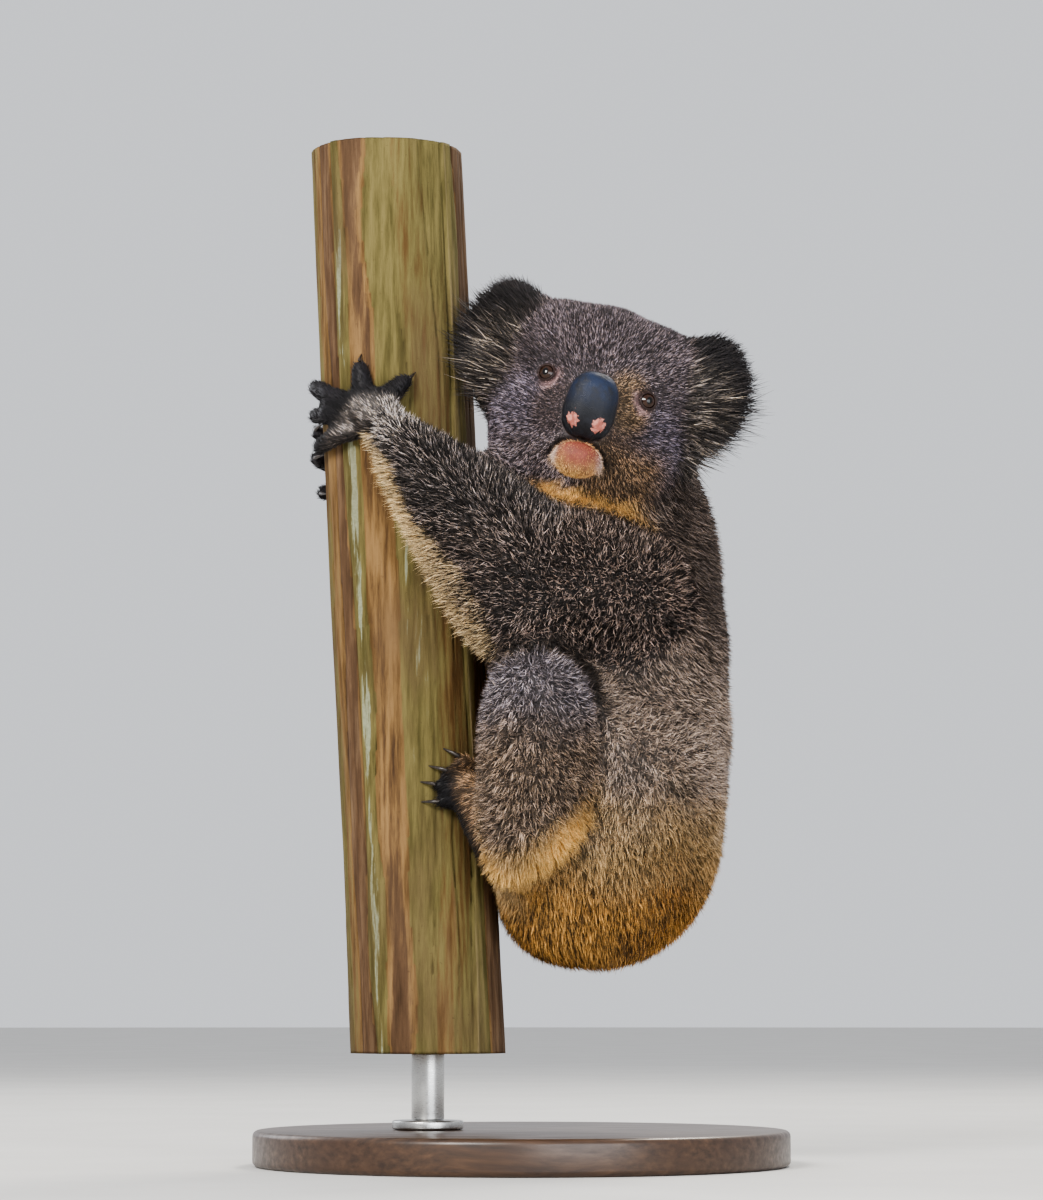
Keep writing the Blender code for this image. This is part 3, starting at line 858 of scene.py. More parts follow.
def spun(outline, sides):
    """An outline of (radius, height), from the axis to the axis, spun round z: points and faces."""
    turns = np.linspace(0.0, 2 * math.pi, sides, endpoint=False)
    rings = outline[1:-1]
    points = [(0.0, 0.0, outline[0][1])]
    points += [(r * math.cos(a), r * math.sin(a), z) for r, z in rings for a in turns]
    points.append((0.0, 0.0, outline[-1][1]))
    faces = [(0, 1 + i, 1 + (i + 1) % sides) for i in range(sides)]
    for row in range(len(rings) - 1):
        start = 1 + row * sides
        for i in range(sides):
            j = (i + 1) % sides
            faces.append((start + i, start + sides + i, start + sides + j, start + j))
    last = 1 + (len(rings) - 1) * sides
    faces += [(last + i, len(points) - 1, last + (i + 1) % sides) for i in range(sides)]
    return np.array(points), faces


def ball(rows, sides):
    """Unit directions of a closed ball round z, and its faces."""
    inner = [(math.sin(t), math.cos(t)) for t in np.linspace(0.0, math.pi, rows + 1)[1:-1]]
    return spun([(0.0, 1.0), *inner, (0.0, -1.0)], sides)


def keep_vectors(mesh, name, vectors):
    """Stores one vector a point on the mesh."""
    layer = mesh.attributes.new(name, "FLOAT_VECTOR", "POINT")
    layer.data.foreach_set("vector", np.ascontiguousarray(vectors, dtype=np.float32).ravel())


def smooth_shaded(made, material):
    """Smooth shading and one material for a finished piece, which rides on the body."""
    made.data.shade_smooth()
    made.data.materials.clear()
    made.data.materials.append(material)
    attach(made, BODY)


def face_outwards(made):
    """Turns all faces of a closed mesh outwards."""
    bm = bmesh.new()
    bm.from_mesh(made.data)
    bmesh.ops.recalc_face_normals(bm, faces=bm.faces)
    bm.to_mesh(made.data)
    bm.free()


print("an eye ball has", len(ball(EYE_ROWS, EYE_SIDES)[1]), "faces")


# %% Make the eyes
def eye_material():
    """Glass eye: spokes in the iris, a dark rim round it and an upright pupil."""
    material, graph, shader, _ = new_material("glass eye", 0.05, specular=0.22, coat=0.3)
    shader.inputs["Coat Roughness"].default_value = 0.02
    sight = graph.kept("sight")
    parts = graph.parts(sight)
    across = graph.times(parts["X"], PUPIL_SQUEEZE)
    wide = graph.joined(across, parts["Y"])
    flat = graph.joined(parts["X"], parts["Y"])
    spokes = graph.noise(graph.vector("NORMALIZE", flat), 9.0, 4.0, 0.7)
    mottle = graph.noise(sight, 14.0, 3.0)
    iris = graph.mix(graph.span(spokes, 0.32, 0.68), (0.008, 0.0035, 0.002), (0.046, 0.018, 0.009))
    iris = graph.mix(graph.span(mottle, 0.35, 0.75), iris, (0.028, 0.012, 0.007))
    pupil = graph.span(graph.vector("LENGTH", wide), 0.29, 0.36, 1.0, 0.0)
    rim = graph.span(graph.vector("LENGTH", flat), 0.50, 0.66)
    colour = graph.mix(pupil, graph.mix(rim, iris, (0.010, 0.006, 0.005)), (0.002, 0.002, 0.002))
    graph.tint(shader, colour)
    return material


def make_eye(side, place, material):
    """One eye ball with its cornea, turned to the gaze of its lids."""
    gaze, across, up = EYE_AXES[side]
    directions, faces = ball(EYE_ROWS, EYE_SIDES)
    angle = np.arccos(np.clip(directions[:, 2], -1, 1))
    radius = EYE_RADIUS + CORNEA_BULGE * (1.0 - smooth_step(0.2, CORNEA_ANGLE, angle))
    turned = directions[:, :1] * across * side + directions[:, 1:2] * up * side + directions[:, 2:] * gaze
    name = "eye_left" if side > 0 else "eye_right"
    points = from_head(place - EYE_SET_BACK * gaze + turned * radius[:, None])
    made = mesh_object(name + "_glass", points, faces)
    keep_vectors(made.data, "sight", directions)
    smooth_shaded(made, material)
    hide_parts(name)
    return made


eye_finish = eye_material()
eyes = [make_eye(side, place, eye_finish) for side, place in eye_places()]
for made in eyes:
    face_outwards(made)
print("eyes:", [(made.name, len(made.data.polygons)) for made in eyes])

# %% [markdown]
# ## Nose
# The nose pad is leathery skin without hair, broader below, with two comma-shaped nostrils that open to the
# sides. A ball is pulled to that form by rule, so the nostrils are real pits. The fine pebbles of the leather
# are too small for mesh and are left to the bump. The pink round the nostrils is bare skin without pigment.

# %% Shape of the nose
NOSE_ROWS, NOSE_SIDES = 110, 128
NOSE_RADII = np.array((16.8, 14.0, 22.3)) * MM
NOSE_SQUARENESS = 2.6
NOSE_TILT = math.radians(14.0)
NOSTRIL_OUT = 10.4 * MM
NOSTRIL_DOWN = -17.0 * MM
NOSTRIL_DEPTH = 2.6 * MM
PIT_RADII = (2.6 * MM, 1.7 * MM)
TAIL_SHIFT = (4.0 * MM, 1.0 * MM)
TAIL_RADII = (3.4 * MM, 1.1 * MM)
TAIL_DEPTH = 0.7 * MM
RIM_RADII = (4.6 * MM, 4.0 * MM)
RIM_HEIGHT = 0.4 * MM
CLEFT_DEPTH = 1.4 * MM
PINK_PLACE = (9.2 * MM, -12.3 * MM)
PINK_RADII = (4.9 * MM, 6.2 * MM)


def flat_blob(across, up, radii):
    """1 in the middle of a flat egg, falling softly to 0."""
    return np.exp(-((across / radii[0]) ** 2) - (up / radii[1]) ** 2)


def nose_points(directions):
    """The nose pad about its own middle, before it is tilted, and how deep in a nostril each point is."""
    x, y, z = directions[:, 0], -directions[:, 2], directions[:, 1]
    breadth = 1.0 + 0.06 * smooth_step(0.3, -0.5, z) - 0.02 * smooth_step(0.35, 1.0, z)
    swell = (np.abs(directions) ** NOSE_SQUARENESS).sum(axis=1) ** (-1.0 / NOSE_SQUARENESS)
    points = np.stack((x * breadth, y, z), axis=1) * swell[:, None] * NOSE_RADII
    points[:, 1] += CLEFT_DEPTH * bump_share(x, 0.0, 0.16) * smooth_step(-0.15, -0.75, z) * (y < 0)
    slant = np.abs(points[:, 0]) - NOSTRIL_OUT
    drop = points[:, 2] - NOSTRIL_DOWN - 0.9 * slant
    pit = flat_blob(slant, drop, PIT_RADII) * (y < 0.1)
    tail = flat_blob(slant - TAIL_SHIFT[0], drop - TAIL_SHIFT[1], TAIL_RADII) * (y < 0.3)
    rim = bump_share(np.hypot(slant / RIM_RADII[0], drop / RIM_RADII[1]), 1.0, 0.28) * (y < 0.1)
    push = -NOSTRIL_DEPTH * pit - TAIL_DEPTH * tail + RIM_HEIGHT * rim
    return points + directions[:, (0, 2, 1)] * np.array((1, -1, 1)) * push[:, None], pit


pad_size = np.ptp(nose_points(ball(NOSE_ROWS, NOSE_SIDES)[0])[0], axis=0)
print("nose pad:", (pad_size / MM).round(1), "mm")


# %% Make the nose
def nose_material():
    """Dark leather with bare pink round the nostrils. The blue on top is a painted sky reflection, and the
    nearly black pits are painted shade.
    """
    material, graph, shader, _ = new_material("nose leather", 0.46, specular=0.24)
    pad = graph.kept("pad")
    up = graph.parts(pad)["Z"]
    mask = graph.parts(graph.kept("nostril"))
    patch = graph.noise(pad, 400.0, 3.0, 0.6)
    # Painted reflection: the pad runs from near black below to blue on top, where it would mirror the sky.
    stops = ((0.0, (0.006, 0.005, 0.006)), (0.45, (0.008, 0.009, 0.013)), (1.0, (0.015, 0.024, 0.054)))
    dark = graph.ramp(graph.span(up, -0.024, 0.022), stops)
    dark = graph.mix(graph.span(graph.noise(pad, 160.0, 4.0), 0.35, 0.75), dark, (0.014, 0.015, 0.020))
    edge = graph.plus(mask["Y"], graph.swing(patch, 1.3))
    pink = graph.mix(graph.span(patch, 0.4, 0.7), (0.27, 0.085, 0.065), (0.46, 0.205, 0.165))
    colour = graph.mix(graph.span(edge, 0.42, 0.49), dark, pink)
    # Painted shade: the deepest parts of the nostril pits are made nearly black.
    colour = graph.mix(graph.span(mask["X"], 0.60, 0.80), colour, (0.006, 0.004, 0.004))
    graph.tint(shader, colour)
    pebbles = graph.cells(pad, 1500.0)
    rough = graph.span(graph.noise(pad, 240.0, 3.0), 0.2, 0.8, 0.34, 0.52)
    graph.feed(shader.inputs["Roughness"], rough)
    add_bump(graph, shader, graph.math("SUBTRACT", 1.0, pebbles), 0.35 * MM, 0.55)
    return material


def make_nose():
    """The nose pad, tilted onto the muzzle."""
    directions, faces = ball(NOSE_ROWS, NOSE_SIDES)
    points, pit = nose_points(directions)
    pink = flat_blob(np.abs(points[:, 0]) - PINK_PLACE[0], points[:, 2] - PINK_PLACE[1], PINK_RADII)
    outline = np.hypot(points[:, 0] / NOSE_RADII[0], points[:, 2] / NOSE_RADII[2])
    pink = pink * (points[:, 1] < 6 * MM) * smooth_step(1.0, 0.88, outline)
    cosine, sine = math.cos(NOSE_TILT), math.sin(NOSE_TILT)
    turn = np.array(((1, 0, 0), (0, cosine, -sine), (0, sine, cosine)))
    made = mesh_object("nose_pad", from_head(NOSE_PLACE + points @ turn.T), faces)
    face_outwards(made)
    keep_vectors(made.data, "pad", points)
    keep_vectors(made.data, "nostril", np.stack((pit, pink, pit), axis=1))
    smooth_shaded(made, nose_material())
    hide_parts("nose")
    return made


nose = make_nose()
print("nose faces:", len(nose.data.polygons), "nostrils", round(2 * NOSTRIL_OUT / MM, 1), "mm apart")

# %% [markdown]
# ## Claws
# The claws' solids have few faces, which shows on a glossy curve. Merging each solid and subdividing it twice
# rounds it while it keeps its place. The claws of one paw are joined, as they share one finish: dark horn,
# with fine grooves along it.

# %% Round the claws
CLAW_LEVELS = 2


def horn_material():
    """Dark horn with fine streaks along it and paler clouds."""
    material, graph, shader, place = new_material("claw horn", 0.32, specular=0.5)
    streak = graph.noise(graph.vector("MULTIPLY", place, (1.0, 1.0, 0.25)), 900.0, 3.0)
    cloud = graph.noise(place, 160.0, 2.0)
    colour = graph.mix(graph.span(streak, 0.3, 0.75), (0.010, 0.008, 0.008), (0.045, 0.034, 0.028))
    colour = graph.mix(graph.span(cloud, 0.45, 0.8), colour, (0.060, 0.046, 0.038))
    graph.tint(shader, colour)
    add_bump(graph, shader, streak, 0.12 * MM, 0.6)
    return material


def make_claws(paw, material):
    """All the claws of one paw as one piece."""
    nodes = sorted(n for n in NODES if n.startswith(paw + "_claw"))
    points, faces = merged_shells([arrays_of(merged_copy(node)) for node in nodes])
    made = mesh_object(paw + "_claws", points, faces)
    rounding = made.modifiers.new("round", "SUBSURF")
    rounding.levels = rounding.render_levels = CLAW_LEVELS
    freeze(made)
    smooth_shaded(made, material)
    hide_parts(*nodes)
    return made


horn = horn_material()
claws = [make_claws(paw, horn) for paw in ("hand_left", "hand_right", "foot_left", "foot_right")]
print("claw faces:", [len(made.data.polygons) for made in claws])

# %% [markdown]
# ## Bark
# Old gum bark hangs in long upright strips, with deep cracks between them and smooth pale places where a
# strip has fallen. A displaced picture of bark would be quick, but it would repeat. So the relief is a rule:
# sums of waves and steps that are long upright and short across, worked out for every place on the trunk.

# %% Shape of the bark
BARK_ROWS, BARK_SIDES = 300, 264
BARK_STRIPS = 23
BARK_OUT = 0.9 * MM
BARK_THICKNESS = 2.4 * MM
TRUNK_BULGE = 1.2 * MM
CUT_INSET = 1.5 * MM
CUT_RINGS = (0.985, 0.93, 0.80, 0.60, 0.40, 0.20)


def trunk_axis():
    """The middle of the trunk at its two cut ends, and its mean radius."""
    points, _ = arrays_of(merged_copy("perch"))
    low, high = points[:, 2].min(), points[:, 2].max()
    bottom = points[points[:, 2] < low + MM].mean(axis=0)
    top = points[points[:, 2] > high - MM].mean(axis=0)
    share = ((points[:, 2] - low) / (high - low))[:, None]
    middle = bottom + share * (top - bottom)
    radius = np.linalg.norm((points - middle)[:, :2], axis=1)
    return bottom, top, float(np.median(radius[radius > 0.5 * radius.max()]))


def wave(seed, turn, height, turns, heights):
    """A smooth irregular field round the trunk: it closes on itself after a full turn."""
    rng = np.random.default_rng(seed)
    total = np.zeros(np.broadcast(turn, height).shape)
    for _ in range(7):
        around_it = rng.integers(1, turns + 1)
        along_it = rng.uniform(-heights, heights)
        size = rng.uniform(0.5, 1.0)
        total += size * np.sin(around_it * turn + along_it * height + rng.uniform(0, 2 * math.pi))
    return total / 4.0


def bark_relief(turn, height):
    """The bark's height over the wood, from -1 in a crack to 1 on a lifted edge, and which strip it is."""
    wander = 0.16 * wave(3, turn, height, 3, 9) + 0.035 * wave(4, turn, height, 12, 60)
    place = (turn / (2 * math.pi) + wander * 0.35) * BARK_STRIPS
    strip = np.floor(place).astype(int) % BARK_STRIPS
    inside = place - np.floor(place)
    edge = np.minimum(inside, 1.0 - inside)
    rng = np.random.default_rng(11)
    level = rng.uniform(-0.35, 0.55, BARK_STRIPS)[strip]
    depth = rng.uniform(0.35, 1.0, BARK_STRIPS)[strip]
    lift = rng.uniform(-0.5, 0.5, BARK_STRIPS)[strip]
    crack = bump_share(edge, 0.0, 0.055) * depth * (0.6 + 0.4 * np.sin(height * 31 + strip * 2.1))
    fibres = 0.16 * wave(5, turn, height, 90, 50) + 0.10 * wave(6, turn, height, 60, 16)
    return level + lift * (inside - 0.5) - 1.5 * crack + fibres, strip, crack


trunk_low, trunk_high, trunk_radius = trunk_axis()
print("trunk's length:", round((trunk_high[2] - trunk_low[2]) / MM, 1), "mm")
print("trunk's radius:", round(trunk_radius / MM, 1), "mm")

# %% [markdown]
# The bark's colour follows its shape: which strip a place is on gives its kind, and how deep it lies gives
# painted shade, so that a crack is dark where it is deep. Both are kept on the mesh. Picked colours for every
# strip would need a list, and here one number a strip runs from brown through ochre and olive to bare wood.


# %% Finishes of bark and sawn wood
def bark_material():
    """Gum bark: brown, ochre, olive or bare by its kind, with painted shade in the cracks
    and fibres along it.
    """
    material, graph, shader, place = new_material("gum bark", 0.86, specular=0.18)
    field = graph.parts(graph.kept("bark"))
    upright = graph.vector("MULTIPLY", place, (1.0, 1.0, 0.085))
    fibre = graph.noise(upright, 190.0, 6.0, 0.65)
    broad = graph.noise(graph.vector("MULTIPLY", place, (1.0, 1.0, 0.30)), 24.0, 4.0, 0.6)
    fleck = graph.noise(place, 420.0, 4.0, 0.7)
    stops = ((0.25, (0.030, 0.016, 0.008)), (0.50, (0.092, 0.052, 0.028)), (0.72, (0.190, 0.122, 0.070)))
    brown = graph.ramp(fibre, stops)
    ochre = graph.mix(graph.span(fibre, 0.3, 0.7), (0.082, 0.044, 0.015), (0.240, 0.145, 0.062))
    olive = graph.mix(graph.span(fibre, 0.3, 0.7), (0.060, 0.050, 0.016), (0.165, 0.135, 0.052))
    smooth = graph.mix(graph.span(fleck, 0.3, 0.7), (0.180, 0.190, 0.120), (0.260, 0.265, 0.180))
    ragged = graph.plus(field["Y"], graph.swing(fibre, 0.45))
    colour = graph.mix(graph.span(ragged, 0.26, 0.36), brown, ochre)
    colour = graph.mix(graph.span(ragged, 0.46, 0.58), colour, olive)
    colour = graph.mix(graph.span(ragged, 0.84, 0.88), colour, smooth)
    shade = graph.times(graph.span(broad, 0.42, 0.72), 0.55)
    colour = graph.mix(shade, colour, (0.085, 0.052, 0.030))
    spots = graph.times(graph.span(fleck, 0.60, 0.80), 0.6)
    colour = graph.mix(spots, colour, (0.040, 0.022, 0.012))
    # Painted shade: the deeper a place lies in a crack, the darker it is made.
    deep = graph.times(graph.span(field["X"], -1.1, -0.05, 1.0, 0.0), 0.9)
    colour = graph.mix(deep, colour, (0.020, 0.011, 0.006))
    high = graph.times(graph.span(field["X"], 0.45, 1.0), 0.35)
    graph.tint(shader, graph.mix(high, colour, (0.400, 0.300, 0.190)))
    height = graph.plus(graph.times(fibre, 0.75), graph.times(fleck, 0.25))
    add_bump(graph, shader, height, 1.3 * MM, 0.9)
    return material


def wood_material():
    """Sawn wood: growth rings round the middle and fine rays."""
    material, graph, shader, place = new_material("sawn wood", 0.7, specular=0.2)
    share = graph.parts(graph.kept("bark"))["Z"]
    wobble = graph.times(graph.noise(place, 45.0, 4.0), 0.16)
    rings = graph.math("SINE", graph.times(graph.plus(share, wobble), 150.0))
    colour = graph.mix(graph.span(rings, -0.8, 0.9), (0.36, 0.225, 0.125), (0.50, 0.36, 0.22))
    colour = graph.mix(graph.span(share, 0.93, 0.99), colour, (0.10, 0.055, 0.028))
    colour = graph.mix(graph.span(share, 0.0, 0.22, 0.45, 0.0), colour, (0.24, 0.12, 0.06))
    graph.tint(shader, colour)
    add_bump(graph, shader, graph.plus(rings, graph.noise(place, 500.0, 3.0)), 0.25 * MM, 0.6)
    return material


bark_finish, wood_finish = bark_material(), wood_material()
print("trunk finishes:", bark_finish.name, "and", wood_finish.name)

# %% [markdown]
# The trunk is a grid wrapped round its own axis, with each point pushed in or out by the relief. A cylinder
# with a Displace modifier would come close, but its ends would be torn; here they are sawn flat, in rings.


# %% Make the trunk
def strip_kinds(turns, height, strip, crack):
    """The kind of bark at each point, 0 for brown to 1 for bare: one kind a strip, with soft edges."""
    kind = np.random.default_rng(33).permutation(np.linspace(0.05, 0.95, BARK_STRIPS))[strip]
    for _ in range(6):
        kind = (np.roll(kind, 1, axis=1) + 2.0 * kind + np.roll(kind, -1, axis=1)) / 4.0
    return kind - 0.06 + 0.16 * wave(8, turns, height, 5, 9) * (1.0 - crack)


def wrapped(low_ring, high_ring):
    """The faces between two rings of point numbers, one above the other."""
    return list(zip(low_ring, np.roll(low_ring, -1), np.roll(high_ring, -1), high_ring))


def sawn_end(points, field, ring, end, inward):
    """Adds a sawn end: rings that shrink to the middle from a ring of the wall, and their faces."""
    outer, faces, last = points[ring], [], ring
    for share in CUT_RINGS:
        fresh = np.arange(BARK_SIDES) + len(points)
        ring_points = end + (outer - end) * share
        ring_points[:, 2] = end[2] + inward * CUT_INSET * (0.3 if share > 0.9 else 0.6)
        points = np.concatenate((points, ring_points))
        field = np.concatenate((field, np.tile((0.0, -1.0, share), (BARK_SIDES, 1))))
        faces += list(zip(last, fresh, np.roll(fresh, -1), np.roll(last, -1)))
        last = fresh
    faces += [(a, len(points), b) for a, b in zip(last, np.roll(last, -1))]
    points = np.concatenate((points, [end + np.array((0, 0, inward * CUT_INSET * 0.6))]))
    field = np.concatenate((field, [(0.0, -1.0, 0.0)]))
    return points, field, faces if inward > 0 else [face[::-1] for face in faces]


def make_trunk(bottom, top, radius):
    """The trunk's side wall from a wrapped grid, with sawn ends a little inside the cut planes."""
    turns = np.linspace(0.0, 2 * math.pi, BARK_SIDES, endpoint=False)[None, :]
    shares_up = np.linspace(0.0, 1.0, BARK_ROWS)[:, None]
    height = bottom[2] + shares_up * (top[2] - bottom[2])
    relief, strip, crack = bark_relief(turns, height)
    out = radius + BARK_OUT + BARK_THICKNESS * relief + TRUNK_BULGE * wave(7, turns, height, 4, 16)
    axis = bottom[None, None, :] + shares_up[:, :, None] * (top - bottom)[None, None, :]
    ring = np.stack((np.cos(turns), np.sin(turns), np.zeros_like(turns)), axis=-1)
    points = (axis + out[:, :, None] * ring).reshape(-1, 3)
    kind = strip_kinds(turns, height, strip, crack)
    field = np.stack((relief, kind, crack), axis=-1).reshape(-1, 3)
    rings = np.arange(BARK_ROWS * BARK_SIDES).reshape(BARK_ROWS, BARK_SIDES)
    faces = [face for low, high in zip(rings[:-1], rings[1:]) for face in wrapped(low, high)]
    for row, end, inward in ((0, bottom, 1.0), (-1, top, -1.0)):
        points, field, end_faces = sawn_end(points, field, rings[row], end, inward)
        faces += end_faces
    made = mesh_object("perch_bark", points, faces)
    keep_vectors(made.data, "bark", field)
    return made


trunk = make_trunk(trunk_low, trunk_high, trunk_radius)
smooth_shaded(trunk, bark_finish)
trunk.data.materials.append(wood_finish)
side_faces = (BARK_ROWS - 1) * BARK_SIDES
material_of_face = np.zeros(len(trunk.data.polygons), dtype=np.int32)
material_of_face[side_faces:] = 1
trunk.data.polygons.foreach_set("material_index", material_of_face)
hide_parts("perch")
print("trunk faces:", len(trunk.data.polygons))

# %% [markdown]
# ## Stand
# The display stand is plain: a turned wooden base with a soft edge, a steel rod and its collar. Each is a
# profile spun round, so one function makes all three; what differs is the outline and the finish.

# %% Make the stand
TURNED_SIDES = 144
GRAIN_BEND = 0.030
EDGES = {"stand_base": 4.0 * MM, "stand_collar": 1.5 * MM, "stand_rod": 0.6 * MM}


def turned(name, middle, outline):
    """A closed turned piece whose outline runs from the axis at the bottom to the axis at the top."""
    points, faces = spun(outline, TURNED_SIDES)
    points[:, :2] += middle[:2]
    return mesh_object(name, points, [(face[0], *face[:0:-1]) for face in faces])


def rounded(radius, low, high, edge, steps=6):
    """The outline of a disc or rod whose edges are rounded by edge."""
    quarter = np.linspace(0.0, math.pi / 2, steps)
    bottom = [(radius - edge + edge * math.sin(a), low + edge - edge * math.cos(a)) for a in quarter]
    top = [(radius - edge + edge * math.cos(a), high - edge + edge * math.sin(a)) for a in quarter]
    return [(0.0, low), *bottom, *top, (0.0, high)]


def base_material():
    """Dark oiled wood with its grain along x."""
    material, graph, shader, place = new_material("oiled wood", 0.36, specular=0.45, coat=0.25)
    shader.inputs["Coat Roughness"].default_value = 0.25
    bend = graph.noise(place, 6.0, 3.0)
    bent = graph.vector("ADD", place, graph.scaled(graph.vector("ADD", (0, 0, 0), bend), GRAIN_BEND))
    grain = graph.noise(graph.vector("MULTIPLY", bent, (0.07, 1.0, 1.0)), 220.0, 6.0, 0.62)
    figure = graph.noise(graph.vector("MULTIPLY", bent, (0.16, 1.0, 1.0)), 36.0, 3.0)
    stops = ((0.30, (0.022, 0.011, 0.006)), (0.55, (0.058, 0.030, 0.016)), (0.78, (0.105, 0.058, 0.032)))
    cloudy = graph.times(graph.span(figure, 0.35, 0.7), 0.5)
    colour = graph.mix(cloudy, graph.ramp(grain, stops), (0.040, 0.019, 0.010))
    graph.tint(shader, colour)
    graph.feed(shader.inputs["Roughness"], graph.span(grain, 0.3, 0.8, 0.46, 0.30))
    add_bump(graph, shader, grain, 0.15 * MM, 0.35)
    return material


def steel_material():
    """Brushed steel: fine scratches round the rod and slight stains."""
    material, graph, shader, place = new_material("brushed steel", 0.30)
    shader.inputs["Metallic"].default_value = 1.0
    brush = graph.noise(graph.vector("MULTIPLY", place, (0.12, 0.12, 1.0)), 2600.0, 3.0)
    stain = graph.noise(place, 60.0, 3.0)
    colour = graph.mix(graph.span(stain, 0.3, 0.75), (0.50, 0.50, 0.49), (0.40, 0.395, 0.385))
    colour = graph.mix(graph.span(brush, 0.3, 0.7, 0.0, 0.3), colour, (0.62, 0.62, 0.61))
    graph.tint(shader, colour)
    graph.feed(shader.inputs["Roughness"], graph.span(brush, 0.25, 0.75, 0.24, 0.40))
    add_bump(graph, shader, brush, 0.03 * MM, 0.5)
    return material


def make_stand():
    """The base, the collar and the rod, each from the box of its solid."""
    wood, steel = base_material(), steel_material()
    for node, edge in EDGES.items():
        low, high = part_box(node)
        radius = (high.x - low.x) / 2
        made = turned(node + "_turned", (low + high) / 2, rounded(radius, low.z, high.z, edge))
        face_outwards(made)
        smooth_shaded(made, wood if node == "stand_base" else steel)
        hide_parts(node)
        print(node, "radius", round(radius / MM, 1), "mm, height", round((high.z - low.z) / MM, 1), "mm")


make_stand()

# %% [markdown]
# ## Markings
# Skin and coat have to carry the same markings, so the colours are worked out once, for every point of the
# skin, and both read them. A few named tints are laid over each other like washes, each with a share between
# 0 and 1 that comes from the body part, the place and the way that the skin faces. Some of the washes are
# not markings but painted light and shade.

# %% Tints of the coat
TINTS = {
    "forehead": (0.139, 0.111, 0.122),
    "cheek": (0.146, 0.121, 0.150),
    # paler jowls, partly painted light against the shade under the head
    "jowl": (0.228, 0.184, 0.192),
    "muzzle": (0.124, 0.092, 0.096),
    # the two warm tints lie on one half of the face: partly fur tone, partly painted warm light
    "warm_muzzle_and_light": (0.212, 0.140, 0.080),
    "warm_jowl_and_light": (0.158, 0.094, 0.044),
    # painted shade for the groove of the mouth
    "mouth_shade": (0.022, 0.014, 0.012),
    "chin_pink": (0.240, 0.062, 0.042),
    "bare_pink": (0.400, 0.265, 0.260),
    # dark lid skin, also laid under the nose pad's edge as partly painted shade
    "dark_skin_and_shade": (0.034, 0.019, 0.017),
    # pale throat fur, brightened partly as painted light against the chin's shadow
    "throat": (1.000, 0.600, 0.190),
    "chin_white": (0.960, 0.800, 0.720),
    "chin_pale": (0.930, 0.580, 0.250),
    "ear_dark": (0.044, 0.037, 0.040),
    "ear_pale": (0.450, 0.375, 0.305),
    "arm": (0.104, 0.078, 0.067),
    # darker than the arm: painted shade against the key lamp's stronger light on the forearm
    "forearm": (0.059, 0.049, 0.046),
    # pale ticking at the wrists, partly painted light on their upper sides
    "wrist": (1.000, 0.900, 0.850),
    "fringe": (0.740, 0.560, 0.320),
    "belly": (0.600, 0.430, 0.240),
    "back": (0.165, 0.128, 0.112),
    "flank": (0.335, 0.266, 0.224),
    "tan": (0.414, 0.284, 0.146),
    # partly the rump's own colour, partly painted warm sunlight
    "rump": (0.355, 0.190, 0.056),
    "rump_dark": (0.300, 0.150, 0.042),
    "leg": (0.226, 0.166, 0.126),
    # painted sky light for the top of the folded leg
    "knee_highlight": (0.240, 0.208, 0.226),
    "leg_fringe": (0.870, 0.560, 0.205),
    "foot": (0.290, 0.185, 0.110),
    # painted shade for the crease round the folded leg
    "fold_shade": (0.040, 0.028, 0.023),
    "toes": (0.020, 0.017, 0.021),
}
NOSE_SEAT = np.array((17.0, 22.8)) * MM
WRIST_REACH = 22.0 * MM
WRIST_PLACE = 0.20
PAW_REACH = 75.0 * MM
UNDER_ARM = np.array((-0.68, 0.0, -0.73))
MAIN_PARTS = {
    "head": ["head"],
    "ear": ["ear_"],
    "torso": ["torso", "neck"],
    "arm": ["upper_arm", "forearm"],
    "forearm": ["forearm"],
    "leg": ["thigh", "shin"],
    "hand": ["hand_"],
    "foot": ["foot_"],
}
BANDS = (
    # tint, the height where it starts and the lower height where it is full
    ("flank", 0.385, 0.285),
    ("tan", 0.262, 0.205),
    # the rump's band is partly its own colour and partly painted warm sunlight
    ("rump", 0.222, 0.165),
)


def wash(colours, name, share):
    """Lays one tint over the colours by its share."""
    share = np.clip(share, 0.0, 1.0)[:, None]
    return colours * (1.0 - share) + np.array(TINTS[name]) * share


def cloud(points, size, seed):
    """A soft irregular field between about -1 and 1 with features of that size."""
    rng = np.random.default_rng(seed)
    total = np.zeros(len(points))
    for _ in range(14):
        way = unit(rng.normal(size=3)) * 2 * math.pi / (size * rng.uniform(0.7, 1.6))
        total += np.sin(points @ way + rng.uniform(0, 2 * math.pi))
    return total / 5.0


def blob(points, middle, radii):
    """1 in the middle of an egg-shaped region and 0 outside it."""
    out = np.linalg.norm((points - np.array(middle)) / np.array(radii), axis=1)
    return 1.0 - smooth_step(0.55, 1.15, out)


def wrist_share(points):
    """1 at the wrists and 0 away from them."""
    share = np.zeros(len(points))
    for side in ("left", "right"):
        hand = centre("hand_" + side)
        wrist = hand + WRIST_PLACE * (centre("forearm_" + side) - hand)
        share = np.maximum(share, bump_share(away(points, wrist), 0.0, WRIST_REACH))
    return share


def under_arm(points, normals):
    """1 where the skin faces down and forwards, as on the arm's lower edge."""
    return smooth_step(0.60, 0.97, normals @ UNDER_ARM + 0.10 * cloud(points, 0.02, 9))


print("tints:", len(TINTS), "points at the wrists:", int((wrist_share(shape) > 0.5).sum()))
